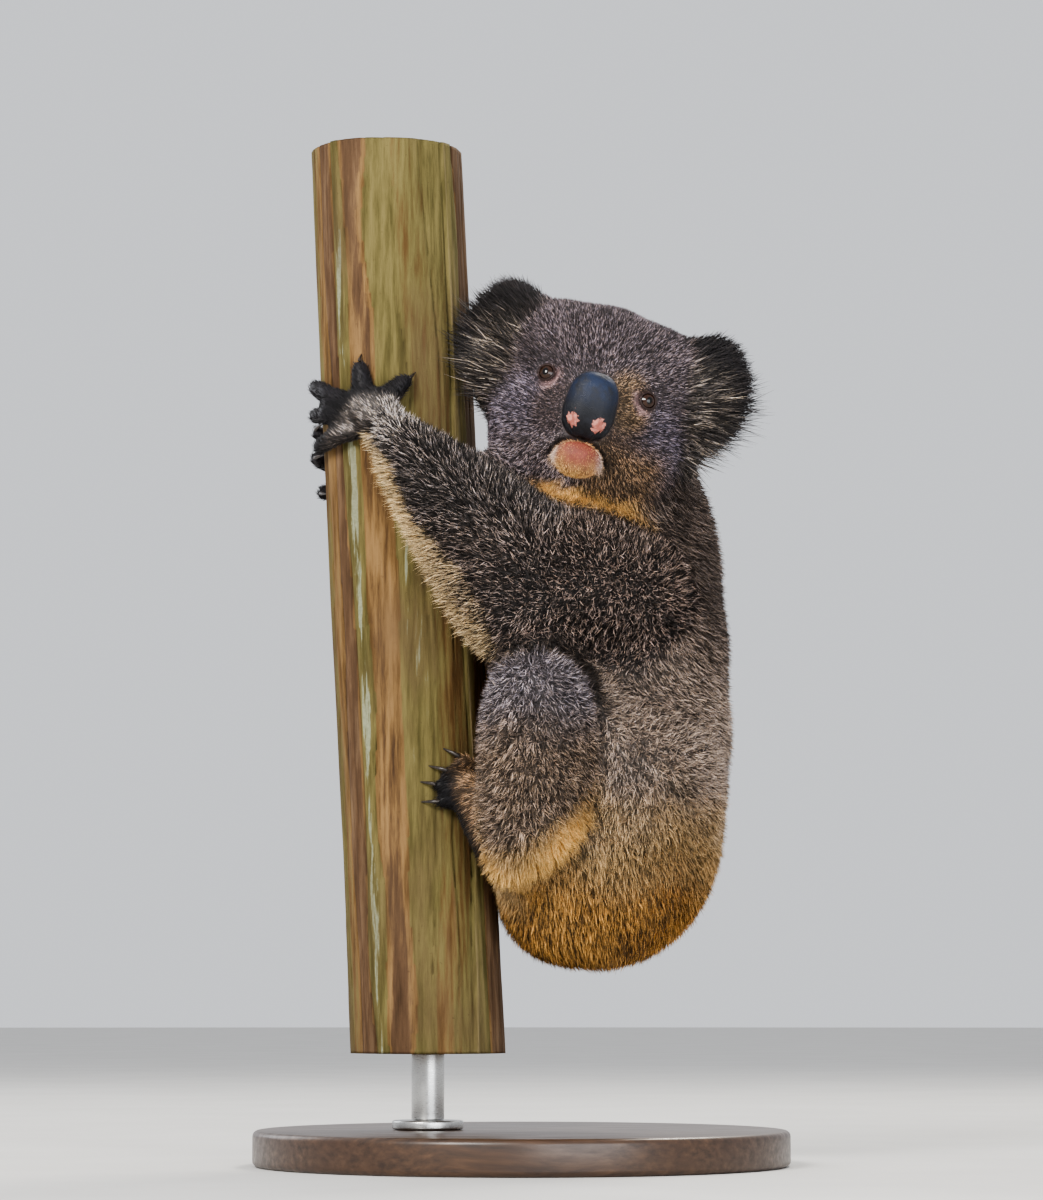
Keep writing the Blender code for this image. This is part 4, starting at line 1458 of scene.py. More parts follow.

# %% [markdown]
# The body is darkest on the arms, grey on the flanks and tan to rust on the rump, with a pale fringe along the
# lower edges of arm and leg. Some washes are wholly or partly painted light: shade in the crease round the
# folded leg, a darker forearm against the key lamp, sky light on the top of the folded leg, light on the upper
# side of the wrists and part of the rump's rust as warm sunlight. Painting by hand would fit one mesh only;
# heights and outlines fit any.


# %% Washes of the body
def hind_colours(colours, points, torso, leg):
    """The washes of the back, flank, rump and folded legs. The crease round the leg gets painted shade, the
    top of the folded leg painted sky light, and the rump's rust is partly painted warm sunlight.
    """
    height = points[:, 2] + 0.008 * cloud(points, 0.04, 5)
    hind = torso + leg
    for name, start, full in BANDS:
        colours = wash(colours, name, hind * smooth_step(start, full, height))
    mottle = smooth_step(0.15, 0.8, cloud(points, 0.030, 8)) * smooth_step(0.125, 0.150, height)
    colours = wash(colours, "rump_dark", torso * smooth_step(0.21, 0.18, height) * mottle * 0.6)
    spread = np.abs(points[:, 1])
    outer = smooth_step(0.075, 0.095, spread)
    moved = points + 0.003 * cloud(points, 0.022, 14)[:, None]
    out, bearing = leg_outline(moved)
    hem = above_hem(moved)
    heel = smooth_step(0.262, 0.250, height) * (points[:, 0] < 0.0)
    inside = np.maximum(smooth_step(1.06, 0.92, out), heel)
    inside = hind * outer * inside * smooth_step(0.004, 0.012, hem)
    colours = wash(colours, "leg", inside)
    # Painted sky light: the top of the folded leg, over the knee, is made paler and bluer.
    colours = wash(colours, "knee_highlight", inside * smooth_step(0.265, 0.315, height))
    band = smooth_step(-0.006, 0.004, hem) * smooth_step(0.030, 0.003, hem)
    band = band * smooth_step(0.060, 0.030, points[:, 0]) * smooth_step(0.060, 0.080, spread)
    behind_heel = 0.52 + 0.48 * smooth_step(-0.010, 0.030, points[:, 0])
    colours = wash(colours, "leg_fringe", hind * band * behind_heel)
    # Painted shade in the crease round the top and the back of the folded leg, strongest over its top.
    return wash(colours, "fold_shade", leg_fold(points) * (0.35 + 0.55 * smooth_step(20.0, 50.0, bearing)))


def far_from_limb(points):
    """How far each point lies beyond the middle of its own hand or foot, along the paw."""
    result = np.zeros(len(points))
    for paw, limb in (("hand_", "forearm_"), ("foot_", "shin_")):
        for side, sign in (("left", -1), ("right", 1)):
            middle = centre(paw + side)
            way = unit(middle - centre(limb + side))
            own = (points[:, 1] * sign > 0) & (away(points, middle) < PAW_REACH)
            result[own] = np.maximum(result[own], ((points - middle) @ way + 0.020)[own])
            if paw == "hand_":
                result[own] = np.maximum(result[own], (points[:, 2] - middle[2] + 0.016)[own])
    return result


def limb_colours(colours, points, normals, body):
    """The washes of belly, arms, legs, hands and feet."""
    arm, hand, leg, foot = body["arm"], body["hand"], body["leg"], body["foot"]
    height = points[:, 2]
    front = smooth_step(0.45, 0.85, -normals[:, 0]) * smooth_step(0.06, 0.0, points[:, 0])
    colours = wash(colours, "belly", body["torso"] * front * smooth_step(0.16, 0.20, height))
    colours = wash(colours, "arm", arm + 0.5 * hand)
    # Painted shade: the forearm faces the key lamp, so it is tinted darker than the upper arm, most high up.
    fore = body["forearm"] * (0.45 + 0.55 * smooth_step(0.395, 0.440, height))
    colours = wash(colours, "forearm", fore + 0.7 * hand)
    edge = under_arm(points, normals) * (0.55 + 0.45 * smooth_step(0.375, 0.430, height))
    colours = wash(colours, "fringe", arm * edge)
    inner_side = smooth_step(0.3, 0.8, -normals[:, 1] * np.sign(points[:, 1] + 1e-9))
    colours = wash(colours, "belly", (arm + leg) * inner_side * 0.7)
    # Pale ticking at the wrists, laid only where the skin doesn't face down: partly fur, partly painted light.
    upper = smooth_step(-0.5, 0.2, normals[:, 2])
    colours = wash(colours, "wrist", (arm + hand) * wrist_share(points) * upper)
    colours = wash(colours, "foot", foot * smooth_step(0.186, 0.200, height))
    heel = (foot + leg) * smooth_step(0.250, 0.235, height)
    colours = wash(colours, "leg_fringe", heel * smooth_step(0.75, 0.95, normals @ UNDER_ARM) * 0.5)
    beyond = far_from_limb(points)
    toes = hand * smooth_step(0.014, 0.024, beyond) + foot * smooth_step(0.004, 0.018, beyond)
    return wash(colours, "toes", toes)


print("points beyond the middle of a paw:", int((far_from_limb(shape) > 0.020).sum()))

# %% [markdown]
# The face is grey with paler jowls, a warm tone on its left half, painted shade in the mouth's groove, a pink
# chin with a white edge and a pale throat. The pale jowls and throat are partly painted light against the
# shade under head and chin, and the one-sided warm tone is partly painted warm light. Each is an egg or a
# band in the head's frame, so it turns with the head. The ears are dark, with pale streaks low in the dish.


# %% Washes of the head
def face_colours(colours, local, head):
    """The washes of the face: cheeks, jowls, muzzle, and the warm tone on its left half.
    The jowls' paleness and the one-sided warm tone are partly painted light.
    """
    x, z = np.abs(local[:, 0]), local[:, 2]
    mirrored = np.stack((x, local[:, 1], z), axis=1)
    before_ears = smooth_step(-0.005, -0.03, local[:, 1])
    colours = wash(colours, "cheek", head * blob(mirrored, (0.042, -0.02, -0.025), (0.03, 0.05, 0.03)))
    # Paler jowls on the lower face, partly painted light against the shade under the head.
    jowl = smooth_step(-0.026, -0.056, z) * smooth_step(0.075, 0.035, x)
    colours = wash(colours, "jowl", head * jowl * before_ears)
    colours = wash(colours, "muzzle", head * blob(mirrored, (0.026, -0.05, -0.022), (0.016, 0.03, 0.022)))
    # Warm washes on the left half of the face only: partly a warm fur tone, partly painted warm light.
    warm = 0.85 * head * smooth_step(-0.004, 0.014, local[:, 0])
    beside_nose = blob(local, (0.022, -0.050, -0.008), (0.021, 0.035, 0.024))
    colours = wash(colours, "warm_muzzle_and_light", warm * beside_nose)
    low = smooth_step(-0.022, -0.044, z) * smooth_step(0.070, 0.045, x)
    return wash(colours, "warm_jowl_and_light", warm * low)


def chin_colours(colours, local, head):
    """The washes of throat and chin, with painted shade in the groove of the mouth; the throat's paleness is
    partly painted light against the chin's shadow. Also gives how pink the chin is.
    """
    x, z = local[:, 0], local[:, 2]
    edge = z - 0.30 * np.clip(x - 0.030, 0.0, 1.0) + 0.002 * cloud(local, 0.012, 27)
    beside = smooth_step(0.054, 0.036, np.abs(x - 0.020))
    # The pale throat band under the chin, partly painted light against the chin's shadow.
    colours = wash(colours, "throat", head * smooth_step(-0.0615, -0.0725, edge) * beside)
    ring = mouth_ring(local) + 0.05 * cloud(local, 0.010, 29)
    front = smooth_step(-0.026, -0.036, local[:, 1])
    # Painted shade in the groove of the mouth's arch.
    crease = 0.85 * bump_share(ring, 1.06, 0.14) * smooth_step(-0.074, -0.056, z)
    colours = wash(colours, "mouth_shade", head * front * crease)
    chin = head * front * (1.0 - smooth_step(0.84, 1.02, ring))
    colours = wash(colours, "chin_pale", chin)
    # Pale throat hair below the chin, partly painted light against the chin's shadow.
    below = head * front * smooth_step(1.35, 1.0, ring) * smooth_step(-0.060, -0.068, z)
    colours = wash(colours, "throat", below * 0.8)
    out = np.hypot((x - 0.001) / 0.0225, (z + 0.0475) / 0.0190) + 0.08 * cloud(local, 0.008, 31)
    pink = chin * (1.0 - smooth_step(0.25, 1.35, out))
    rim = bump_share(ring, 0.84, 0.22) * smooth_step(-0.066, -0.054, z) * smooth_step(0.008, 0.016, np.abs(x))
    colours = wash(colours, "chin_white", chin * rim)
    return wash(colours, "chin_pink", pink * 0.60), pink


def nose_seat(local):
    """1 on the skin under the nose pad and 0 where the hair begins."""
    off = np.abs(local[:, [0, 2]] - NOSE_PLACE[[0, 2]]) / NOSE_SEAT
    out = (off**NOSE_SQUARENESS).sum(axis=1) ** (1.0 / NOSE_SQUARENESS)
    return smooth_step(1.06, 0.97, out) * (local[:, 1] < -0.040)


def ear_sides(local, facing):
    """Which points of the ears lie in the dish, and how far up the ear each point is."""
    turned = 0.62 * np.sign(local[:, 0]) * facing[:, 0] - 0.78 * facing[:, 1]
    return smooth_step(0.15, 0.6, turned), local[:, 2] - 0.030


def ear_colours(colours, local, facing, ear):
    """The washes of the ears: dark, with pale streaks low in the dish."""
    inside, up = ear_sides(local, facing)
    streaks = smooth_step(-0.1, 0.9, cloud(local, 0.0045, 17))
    colours = wash(colours, "ear_dark", ear)
    near = smooth_step(0.088, 0.076, np.abs(local[:, 0]))
    low_dish = ear * inside * near * smooth_step(0.022, -0.004, up)
    return wash(colours, "ear_pale", low_dish * (0.06 + 0.54 * streaks))


print("points of the chin:", int((mouth_ring(to_head(shape)) < 1.0).sum()))

# %% [markdown]
# Now all washes are laid in order, from the back to the finest marks, as a painter would. The skin gets a few
# more than the hair: pink where it is bare, and dark along the lids and under the nose pad.


# %% Paint the animal
def body_shares(shares):
    """How far each point belongs to each main part of the body."""
    return {name: share_of(shares, *nodes) for name, nodes in MAIN_PARTS.items()}


def paint(points, normals, shares, span):
    """The tint of the hair and of the skin at every point, and how bare the skin is."""
    local, facing = to_head(points), normals @ HEAD_AXES.T
    body = body_shares(shares)
    head = body["head"]
    colours = np.tile(TINTS["back"], (len(points), 1))
    colours = hind_colours(colours, points, body["torso"], body["leg"])
    colours = limb_colours(colours, points, normals, body)
    colours = wash(colours, "forehead", head)
    colours = face_colours(colours, local, head)
    colours, pink = chin_colours(colours, local, head)
    # The throat's pale tint on the neck, partly painted light against the chin's shadow.
    throat = body["torso"] * blob(local, (0.022, -0.020, -0.080), (0.046, 0.050, 0.022))
    colours = wash(colours, "throat", throat)
    colours = ear_colours(colours, local, facing, body["ear"])
    from_corner = np.hypot(np.abs(local[:, 0]) - 0.0255, local[:, 2] + 0.007)
    corner = 1.0 - smooth_step(0.006, 0.015, from_corner)
    ring = span + 0.22 * cloud(local, 0.006, 23)
    bare = (1.0 - smooth_step(1.30, 2.15, ring)) * (0.04 + 0.80 * corner)
    colours = wash(colours, "bare_pink", head * 0.8 * corner * (1.0 - smooth_step(1.6, 3.0, ring)))
    under = wash(wash(colours, "chin_pink", pink), "bare_pink", bare)
    under = wash(under, "dark_skin_and_shade", 1.0 - smooth_step(1.20, 1.50, span))
    # Under the nose pad's edge the skin is darkened: partly the dark fringe there, partly painted shade.
    under = wash(under, "dark_skin_and_shade", head * nose_seat(local))
    return colours, under, np.maximum(bare, pink * 0.72)


normals = normals_of(skin.data)
tint, skin_tint, bare = paint(shape, normals, shares, eye_span)
print("mean tint:", tint.mean(axis=0).round(3), "bare points:", int((bare > 0.5).sum()))

# %% [markdown]
# ## How the coat grows
# Each point of the skin also knows how its fur grows: which way it lies, how long and how thick it is, how
# far it stands up and how strongly single hairs differ in tone. On a koala the fur runs back from the nose,
# out over the ears, down the body and along the limbs; it is shortest on the muzzle and the paws.

# %% Lie, length and lift of the fur
GROWTH = {
    # body part: length in mm, lift in degrees, tuft width in mm, difference in tone between hairs
    "head": (3.6, 46.0, 0.58, 2.9),
    "ear_": (9.5, 42.0, 0.62, 3.0),
    "neck": (10.0, 42.0, 0.90, 1.8),
    "torso": (8.8, 48.0, 0.82, 1.9),
    "upper_arm": (7.6, 60.0, 0.80, 9.5),
    "forearm": (7.2, 60.0, 0.76, 10.0),
    "thigh": (7.4, 62.0, 0.76, 2.0),
    "shin": (7.2, 62.0, 0.76, 2.0),
    "hand_": (4.2, 20.0, 0.60, 2.0),
    "foot_": (4.8, 20.0, 0.60, 1.6),
}


def along(values, normals):
    """The part of each vector that runs along the skin, at unit length."""
    flat = values - normals * (values * normals).sum(axis=1)[:, None]
    return flat / np.maximum(np.linalg.norm(flat, axis=1), 1e-9)[:, None]


def fur_lie(points, normals, shares, around):
    """The direction in which the fur lies at each point."""
    ways = {"head": points - (NOSE - 0.004 * HEAD_AXES[1]), "ear_": points - HEAD_ORIGIN}
    down = np.tile((0.10, 0.0, -1.0), (len(points), 1))
    ways |= {"neck": down, "torso": down, "thigh": down, "shin": down}
    for side in ("left", "right"):
        elbow = unit(centre("forearm_" + side) - centre("upper_arm_" + side))
        reach = unit(centre("hand_" + side) - centre("forearm_" + side))
        step = unit(centre("foot_" + side) - centre("shin_" + side))
        droop = np.array((0.0, 0.0, -0.5))
        ways |= {"upper_arm_" + side: elbow + droop, "forearm_" + side: reach + droop}
        ways |= {"hand_" + side: reach, "foot_" + side: step}
    total = np.zeros_like(points)
    for name, way in ways.items():
        total += share_of(shares, name)[:, None] * along(np.broadcast_to(way, points.shape), normals)
    return along(around.blur(total, 6), normals)


def growth_of(points, normals, shares, span, bare, tint):
    """Length, lift, width and tone difference at each point, and how densely tufts stand."""
    columns = [sum(values[i] * share_of(shares, name) for name, values in GROWTH.items()) for i in range(4)]
    length, lift, width, tone = columns
    local = to_head(points)
    body = body_shares(shares)
    head, ear, arm, hand = body["head"], body["ear"], body["arm"], body["hand"]
    muzzle = muzzle_nearness(points) * head
    length = length * (1.0 - 0.58 * muzzle)
    width = width * (1.0 - 0.35 * muzzle)
    lift = lift - 10.0 * muzzle
    near_lid = 1.0 - smooth_step(1.3, 3.2, span)
    length = length * (1.0 - 0.72 * near_lid)
    width = width * (1.0 - 0.35 * near_lid)
    inside, up = ear_sides(local, normals @ HEAD_AXES.T)
    below = under_arm(points, normals)
    length = length + 2.5 * ear * inside + 4.0 * arm * below
    low = bump_share(above_hem(points), 0.004, 0.008) * smooth_step(0.060, 0.080, np.abs(points[:, 1]))
    length = length + 3.0 * low * (body["leg"] + share_of(shares, "torso"))
    pale = smooth_step(0.26, 0.55, tint[:, 0]) * (1.0 - wrist_share(points))
    wrist = (arm + hand) * wrist_share(points)
    tone = tone * (1.0 - 0.80 * pale) * (1.0 - wrist) + 2.4 * wrist
    rump = share_of(shares, "torso") * smooth_step(0.24, 0.19, points[:, 2])
    lift = lift - 14.0 * rump
    ring = mouth_ring(local)
    front = smooth_step(-0.036, -0.042, local[:, 1])
    chin = head * smooth_step(1.25, 1.0, ring) * front
    edge = head * bump_share(ring, 0.92, 0.12) * front
    length = length * (1.0 - 0.35 * chin) + 1.6 * edge
    width = width * (1.0 - 0.30 * chin)
    lift = lift - 8.0 * chin + 18.0 * edge
    opening = smooth_step(1.10, 1.38, span)
    seat = 1.0 - head * nose_seat(local)
    lips = (local[:, 1] < -0.034) * (local[:, 2] > -0.056)
    groove = 1.0 - head * bump_share(ring, 1.0, 0.07) * lips
    fingers = share_of(shares, "hand_", "foot_") * smooth_step(0.020, 0.040, far_from_limb(points))
    dense = opening * seat * groove * (1.0 - 0.82 * bare) * (1.0 - 0.6 * fingers)
    low_ear = smooth_step(0.030, -0.004, up) * smooth_step(0.045, 0.075, np.abs(local[:, 0]))
    wisp = 20.0 * ear * low_ear + 5.0 * arm * below
    return length * MM, np.radians(lift), width * MM, tone, np.clip(dense, 0.0, 1.0), wisp * MM


around = Neighbours(skin.data)
lie = fur_lie(shape, normals, shares, around)
length, lift, width, tone, dense, wisp = growth_of(shape, normals, shares, eye_span, bare, tint)
print("fur from", round(length.min() / MM, 1), "to", round(length.max() / MM, 1), "mm long")

# %% [markdown]
# ## The tufts
# One tuft is a thin closed spike of a few faces. Geometry Nodes scatter points on a piece of skin, put a spike
# on each, lean it along the lie of the fur, pull neighbours together into little clumps with cracks between
# them, and give every spike a tone of its own. Hair curves would be quicker, but they don't leave Blender.


# %% Helpers for the coat's tree
def read(graph, name, kind):
    """A named attribute of the mesh."""
    node = graph.add("GeometryNodeInputNamedAttribute", {"Name": name}, data_type=kind)
    return next(s for s in node.outputs if s.enabled and s.name == "Attribute")


def store(graph, geometry, name, kind, domain, value):
    """Keeps a value on the geometry under a name."""
    node = graph.add("GeometryNodeStoreNamedAttribute", data_type=kind, domain=domain)
    graph.feed(node.inputs["Geometry"], geometry)
    graph.feed(node.inputs["Name"], name)
    graph.feed(next(s for s in node.inputs if s.enabled and s.name == "Value"), value)
    return node.outputs["Geometry"]


def random_value(graph, seed, low, high, kind="FLOAT"):
    """A random value for every tuft."""
    node = graph.add("FunctionNodeRandomValue", data_type=kind)
    for name, value in (("Min", low), ("Max", high), ("Seed", seed)):
        graph.feed(next(s for s in node.inputs if s.enabled and s.name == name), value)
    return next(s for s in node.outputs if s.enabled)


COAT_INPUTS = (
    ("Tufts per m2", "Float", 1e6),
    ("Spacing", "Float", 0.0008),
    ("Bends", "Int", 1),
    ("Curl", "Float", 0.0),
    ("Clump size", "Float", 0.006),
    ("Clumping", "Float", 0.6),
    ("Unrest", "Float", 0.25),
    ("Seed", "Int", 1),
)
TUFT_PATCH = 0.003
TUFT_BELLY = 1.6


def coat_inputs(tree):
    """The named inputs of the tree, with their values before a piece sets its own."""
    tree.interface.new_socket("Geometry", in_out="INPUT", socket_type="NodeSocketGeometry")
    for name, kind, value in COAT_INPUTS:
        socket = tree.interface.new_socket(name, in_out="INPUT", socket_type="NodeSocket" + kind)
        socket.default_value = value
    tree.interface.new_socket("Finish", in_out="INPUT", socket_type="NodeSocketMaterial")
    tree.interface.new_socket("Geometry", in_out="OUTPUT", socket_type="NodeSocketGeometry")


print("inputs of the coat:", [name for name, _, _ in COAT_INPUTS])


# %% One tuft
def spike(graph, bends, curl):
    """One tuft: a closed three-sided spike, one unit wide and long, with its own place along it kept."""
    keys = {"Vertices": 3, "Side Segments": bends, "Radius Top": 0.0, "Radius Bottom": 0.5, "Depth": 1.0}
    cone = graph.add("GeometryNodeMeshCone", keys, fill_type="NGON").outputs["Mesh"]
    place = graph.add("GeometryNodeInputPosition").outputs["Position"]
    parts = graph.parts(place)
    cone = store(graph, cone, "along", "FLOAT", "POINT", parts["Z"])
    across = graph.times(graph.plus(parts["X"], 0.5), TUFT_PATCH)
    rise = graph.plus(parts["Z"], graph.times(parts["Y"], 0.2))
    upward = graph.times(rise, TUFT_PATCH)
    patch = graph.joined(across, upward)
    cone = store(graph, cone, "patch", "FLOAT2", "CORNER", patch)
    belly = graph.times(graph.times(parts["Z"], graph.math("SUBTRACT", 1.0, parts["Z"])), TUFT_BELLY)
    wide = graph.plus(1.0, belly)
    bend = graph.times(graph.times(parts["Z"], parts["Z"]), curl)
    bent = graph.math("SUBTRACT", graph.times(parts["Y"], wide), bend)
    moved = graph.joined(graph.times(parts["X"], wide), bent, parts["Z"])
    return graph.add("GeometryNodeSetPosition", {"Geometry": cone, "Position": moved}).outputs["Geometry"]


def tuft_turn(graph, given, normal):
    """The rotation of each tuft, from the lie of the fur, its lift, its clump and a little unrest."""
    place = graph.add("GeometryNodeInputPosition").outputs["Position"]
    lift = graph.times(read(graph, "lift", "FLOAT"), random_value(graph, 3, 0.7, 1.3))
    flat = graph.scaled(read(graph, "lie", "FLOAT_VECTOR"), graph.math("COSINE", lift))
    up = graph.scaled(normal, graph.math("SINE", lift))
    tall = graph.vector("MULTIPLY", place, (1.0, 1.0, 0.62))
    middle = graph.cells(tall, graph.math("DIVIDE", 1.0, given["Clump size"]), "Position")
    pull = graph.vector("SUBTRACT", graph.vector("MULTIPLY", middle, (1.0, 1.0, 1.613)), place)
    share = graph.math("DIVIDE", given["Clumping"], read(graph, "length", "FLOAT"))
    pull = graph.scaled(pull, share)
    off = graph.vector("DOT_PRODUCT", pull, normal)
    pull = graph.vector("SUBTRACT", pull, graph.scaled(normal, off))
    unrest = random_value(graph, 4, (-1.0, -1.0, -1.0), (1.0, 1.0, 1.0), "FLOAT_VECTOR")
    unrest = graph.scaled(unrest, given["Unrest"])
    way = graph.vector("ADD", graph.vector("ADD", flat, up), graph.vector("ADD", pull, unrest))
    keys = {"Primary Axis": way, "Secondary Axis": normal}
    turn = graph.add("FunctionNodeAxesToRotation", keys, primary_axis="Z", secondary_axis="Y")
    return turn.outputs["Rotation"]


def tuft_colour(graph):
    """The colour of each tuft: the tint times the tuft's own tone."""
    tint = read(graph, "tint", "FLOAT_VECTOR")
    place = graph.add("GeometryNodeInputPosition").outputs["Position"]
    patchy = graph.span(graph.noise(place, 55.0, 3.0), 0.25, 0.75, 0.82, 1.18)
    tone = graph.times(read(graph, "shade", "FLOAT"), patchy)
    palest = graph.math("DIVIDE", 0.88, graph.parts(tint)["X"])
    return graph.scaled(tint, graph.math("MINIMUM", tone, palest))


print("a tuft takes", TUFT_PATCH, "of its map's width")


# %% The tree that grows a coat
def coat_tree():
    """Scatters tufts on the piece of skin that it is given."""
    tree = bpy.data.node_groups.new("coat of tufts", "GeometryNodeTree")
    tree.is_modifier = True
    coat_inputs(tree)
    graph = Graph(tree)
    given = graph.add("NodeGroupInput").outputs
    keys = {
        "Mesh": given["Geometry"],
        "Distance Min": given["Spacing"],
        "Density Max": given["Tufts per m2"],
        "Density Factor": read(graph, "dense", "FLOAT"),
        "Seed": given["Seed"],
    }
    scatter = graph.add("GeometryNodeDistributePointsOnFaces", keys, distribute_method="POISSON")
    points = scatter.outputs["Points"]
    span = read(graph, "tone", "FLOAT")
    spread = graph.math("SUBTRACT", random_value(graph, 5, 0.0, 2.0), 1.0)
    shade = graph.math("POWER", graph.plus(span, 1.0), spread)
    points = store(graph, points, "shade", "FLOAT", "POINT", shade)
    width = graph.times(read(graph, "width", "FLOAT"), random_value(graph, 6, 0.75, 1.25))
    long = graph.times(read(graph, "length", "FLOAT"), random_value(graph, 7, 0.65, 1.15))
    rare = graph.math("POWER", random_value(graph, 8, 0.0, 1.0), 6.0)
    long = graph.plus(long, graph.times(rare, read(graph, "wisp", "FLOAT")))
    size = graph.joined(width, width, long)
    keys = {
        "Points": points,
        "Instance": spike(graph, given["Bends"], given["Curl"]),
        "Rotation": tuft_turn(graph, given, scatter.outputs["Normal"]),
        "Scale": size,
    }
    placed = graph.add("GeometryNodeInstanceOnPoints", keys)
    keys = {"Geometry": placed.outputs["Instances"]}
    coat = graph.add("GeometryNodeRealizeInstances", keys).outputs["Geometry"]
    coat = store(graph, coat, "coat", "FLOAT_COLOR", "POINT", tuft_colour(graph))
    spot = graph.vector("ADD", read(graph, "skin_map", "FLOAT_VECTOR"), read(graph, "patch", "FLOAT_VECTOR"))
    coat = store(graph, coat, "OFBake", "FLOAT2", "CORNER", spot)
    finished = graph.add("GeometryNodeSetMaterial", {"Geometry": coat, "Material": given["Finish"]})
    graph.add("NodeGroupOutput", {"Geometry": finished.outputs["Geometry"]})
    return tree


grow = coat_tree()
print("the tree has", len(grow.nodes), "nodes and the inputs:", [s.name for s in grow.interface.items_tree])


# %% [markdown]
# A koala's hair is dark at the root and paler towards the tip, and single hairs are finer than a tuft. So the
# fur reads how far along its tuft each place lies, and fine noise draws hairs on it. A hair shader would do
# this for curves, but tufts are plain mesh. The skin below has the same tints, darker, with pores and creases.

# %% Finishes of fur and skin
def fur_material():
    """Fur: dark roots, a pale band near the tip, fine ticks across the hairs and a slight silky edge."""
    material, graph, shader, place = new_material("koala fur", 0.62, specular=0.22, sheen=0.08)
    colour = graph.kept("coat", "Color")
    rise = graph.kept("along", "Fac")
    shift = graph.swing(graph.noise(place, 500.0, 2.0, 0.6), 0.5)
    pale = graph.span(graph.plus(rise, shift), 0.30, 0.62)
    bright = graph.parts(colour)["X"]
    root = graph.scaled(colour, graph.span(bright, 0.15, 0.55, 0.32, 0.88))
    colour = graph.mix(pale, root, colour)
    fine = graph.noise(place, 1500.0, 3.0, 0.7)
    streak = graph.span(fine, 0.32, 0.68, 0.50, 1.50)
    warmth = graph.span(graph.noise(place, 800.0, 2.0, 0.5), 0.35, 0.65)
    warm = graph.mix(warmth, (0.92, 0.97, 1.06), (1.08, 1.01, 0.86))
    colour = graph.vector("MULTIPLY", graph.scaled(colour, streak), warm)
    graph.tint(shader, colour)
    return material


def skin_material():
    """Skin under the coat: the same markings, darker, with pores and fine creases."""
    material, graph, shader, place = new_material("koala skin", 0.55, specular=0.3)
    colour = graph.kept("coat", "Color")
    pores = graph.noise(place, 700.0, 4.0, 0.6)
    blotch = graph.span(graph.noise(place, 130.0, 3.0), 0.3, 0.7, 0.82, 1.15)
    shade = graph.times(blotch, graph.span(pores, 0.3, 0.7, 0.85, 1.12))
    graph.tint(shader, graph.scaled(colour, shade))
    creases = graph.cells(place, 900.0)
    add_bump(graph, shader, graph.plus(pores, creases), 0.25 * MM, 0.5)
    return material


fur, hide = fur_material(), skin_material()

# %% [markdown]
# The coat is grown in pieces, one for each part of the animal, so that no mesh gets too heavy. Each piece of
# skin is unwrapped on its own, by its shape, and a tuft's place on that map is the place of its root.


# %% Grow the coat
GROWN = {"length": length, "lift": lift, "width": width, "tone": tone, "dense": dense, "wisp": wisp}
SPARE = (*GROWN, "lie", "tint", "skin_map", "patch", "along", "shade")
SCATTER_LOSS = 1.55
SPACING_SHARE = 0.62


def keep_numbers(mesh, name, values):
    """Stores one number a point on the mesh."""
    layer = mesh.attributes.new(name, "FLOAT", "POINT")
    layer.data.foreach_set("value", np.ascontiguousarray(values, dtype=np.float32))


def skin_patch(name, chosen, faces):
    """The chosen faces of the skin as a mesh of their own, with all that the coat needs to know."""
    own = faces[chosen]
    kept, fresh = np.unique(own, return_inverse=True)
    patch = mesh_object(name, shape[kept], fresh.reshape(own.shape))
    for key, values in GROWN.items():
        keep_numbers(patch.data, key, values[kept])
    keep_vectors(patch.data, "lie", lie[kept])
    keep_vectors(patch.data, "tint", tint[kept])
    bpy.ops.object.select_all(action="DESELECT")
    bpy.context.view_layer.objects.active = patch
    patch.select_set(True)
    patch.data.uv_layers.new(name="skin_map")
    bpy.ops.object.mode_set(mode="EDIT")
    bpy.ops.mesh.select_all(action="SELECT")
    bpy.ops.uv.smart_project(angle_limit=math.radians(66), island_margin=0.004)
    bpy.ops.object.mode_set(mode="OBJECT")
    return patch


def face_areas(mesh):
    """The area of every face."""
    flat = np.empty(len(mesh.polygons))
    mesh.polygons.foreach_get("area", flat)
    return flat


def grow_coat(name, chosen, faces, tufts, **inputs):
    """One piece of coat with about that many tufts."""
    patch = skin_patch(name, chosen, faces)
    weight = dense[faces[chosen]].mean(axis=1)
    area = float((face_areas(patch.data) * weight).sum())
    per_area = tufts / area * 1.0
    modifier = patch.modifiers.new("coat", "NODES")
    modifier.node_group = grow
    spacing = SPACING_SHARE / math.sqrt(per_area)
    values = {"Tufts per m2": per_area * SCATTER_LOSS, "Spacing": spacing, "Finish": fur, **inputs}
    for socket in grow.interface.items_tree:
        if socket.in_out == "INPUT" and socket.name in values:
            modifier[socket.identifier] = values[socket.name]
    freeze(patch)
    for spare in SPARE:
        layer = patch.data.attributes.get(spare)
        if layer:
            patch.data.attributes.remove(layer)
    print(f"{name}: {len(patch.data.polygons)} faces on {area * 1e4:.0f} cm2")
    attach(patch, BODY)
    return patch


print("kept on the skin for the coat:", list(GROWN))

# %% [markdown]
# A coat of one piece would be too heavy, so each triangle of skin goes to the piece of the body part that it
# mostly belongs to. Only the ears get curled tufts, which take a second bend to be seen.


# %% Grow every piece
def triangles_of(mesh):
    """All faces of a mesh as triangles of point numbers."""
    mesh.calc_loop_triangles()
    flat = np.empty(len(mesh.loop_triangles) * 3, dtype=np.int64)
    mesh.loop_triangles.foreach_get("vertices", flat)
    return flat.reshape(-1, 3)


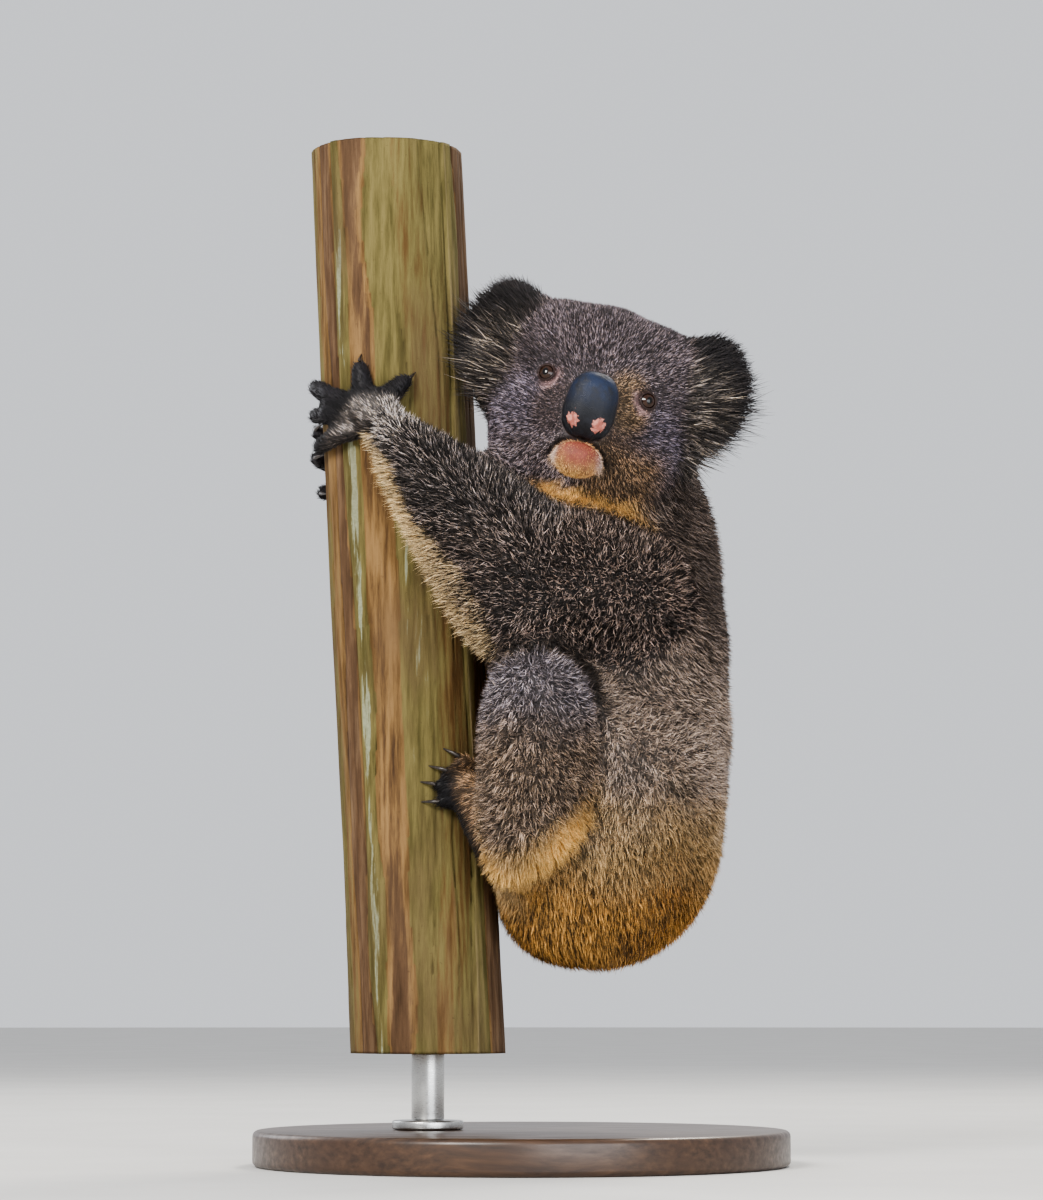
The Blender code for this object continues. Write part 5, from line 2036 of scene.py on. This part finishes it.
skin_faces = triangles_of(skin.data)
where = shares[skin_faces].mean(axis=1)
middle = shape[skin_faces].mean(axis=1)
local_middle = to_head(middle)
body = body_shares(where)
body["paws"] = body["hand"] + body["foot"]
choice = np.stack([body[name] for name in ("head", "ear", "torso", "arm", "leg", "paws")]).argmax(axis=0)
left = middle[:, 1] < 0.0
FACE_BACK = 4.0 * MM
CURL = 2.2
PIECES = (
    # name, faces, tufts, bends, clump size, clumping, unrest
    ("coat_face", (choice == 0) & (local_middle[:, 1] < FACE_BACK), 48500, 1, 0.0032, 0.35, 0.24),
    ("coat_crown", (choice == 0) & (local_middle[:, 1] >= FACE_BACK), 26000, 1, 0.0050, 0.55, 0.22),
    ("coat_ears", choice == 1, 15000, 2, 0.0045, 0.35, 0.26),
    ("coat_body_left", (choice == 2) & left, 46000, 1, 0.0050, 0.55, 0.26),
    ("coat_body_right", (choice == 2) & ~left, 46000, 1, 0.0050, 0.55, 0.26),
    ("coat_arm_left", (choice == 3) & left, 46000, 1, 0.0045, 0.50, 0.36),
    ("coat_arm_right", (choice == 3) & ~left, 42000, 1, 0.0045, 0.50, 0.36),
    ("coat_leg_left", (choice == 4) & left, 44000, 1, 0.0050, 1.00, 0.30),
    ("coat_leg_right", (choice == 4) & ~left, 42000, 1, 0.0050, 1.00, 0.30),
    ("coat_paws", choice == 5, 16000, 1, 0.0030, 0.30, 0.20),
)
coats = []
for seed, (name, chosen, tufts, bends, clump, clumping, unrest) in enumerate(PIECES):
    inputs = {"Clump size": clump, "Clumping": clumping, "Unrest": unrest, "Seed": seed, "Bends": bends}
    coats.append(grow_coat(name, chosen, skin_faces, tufts, Curl=CURL * (bends - 1), **inputs))
print("coat faces in all:", sum(len(made.data.polygons) for made in coats))

# %% [markdown]
# Last, the skin gets its colour. Where the coat covers it the skin takes the dark tone of the roots, and
# where it is bare it keeps its tint. Fine faces are only needed on face and paws, so the rest is thinned.

# %% Finish the skin
UNDERCOAT_SHARE = 0.30
BARE_SHARE = 0.95
SKIN_TRIANGLES = 170_000
FINE_REACH = 46 * MM
FINE_WEIGHT = 0.02


def finish_skin():
    """Colours and thins the skin, and sets it on the body in place of the hidden solids of flesh."""
    bareness = np.clip(np.maximum(bare, 1.0 - dense), 0.0, 1.0)[:, None]
    colours = skin_tint * (UNDERCOAT_SHARE * (1.0 - bareness) + BARE_SHARE * bareness)
    layer = skin.data.attributes.new("coat", "FLOAT_COLOR", "POINT")
    with_alpha = np.concatenate((colours, np.ones((len(colours), 1))), axis=1)
    layer.data.foreach_set("color", with_alpha.astype(np.float32).ravel())
    detail = np.clip(share_of(shares, "hand_", "foot_") + near_face(shape, FINE_REACH), 0.0, 1.0)
    group = skin.vertex_groups.new(name="thin")
    for level, chosen in ((FINE_WEIGHT, detail > 0.5), (1.0, detail <= 0.5)):
        group.add([int(i) for i in np.flatnonzero(chosen)], level, "REPLACE")
    skin.data.calc_loop_triangles()
    thin = skin.modifiers.new("thin", "DECIMATE")
    thin.ratio = SKIN_TRIANGLES / len(skin.data.loop_triangles)
    thin.vertex_group = group.name
    freeze(skin)
    smooth_shaded(skin, hide)
    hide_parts(*FLESH)
    print("skin triangles:", len(triangles_of(skin.data)))


finish_skin()
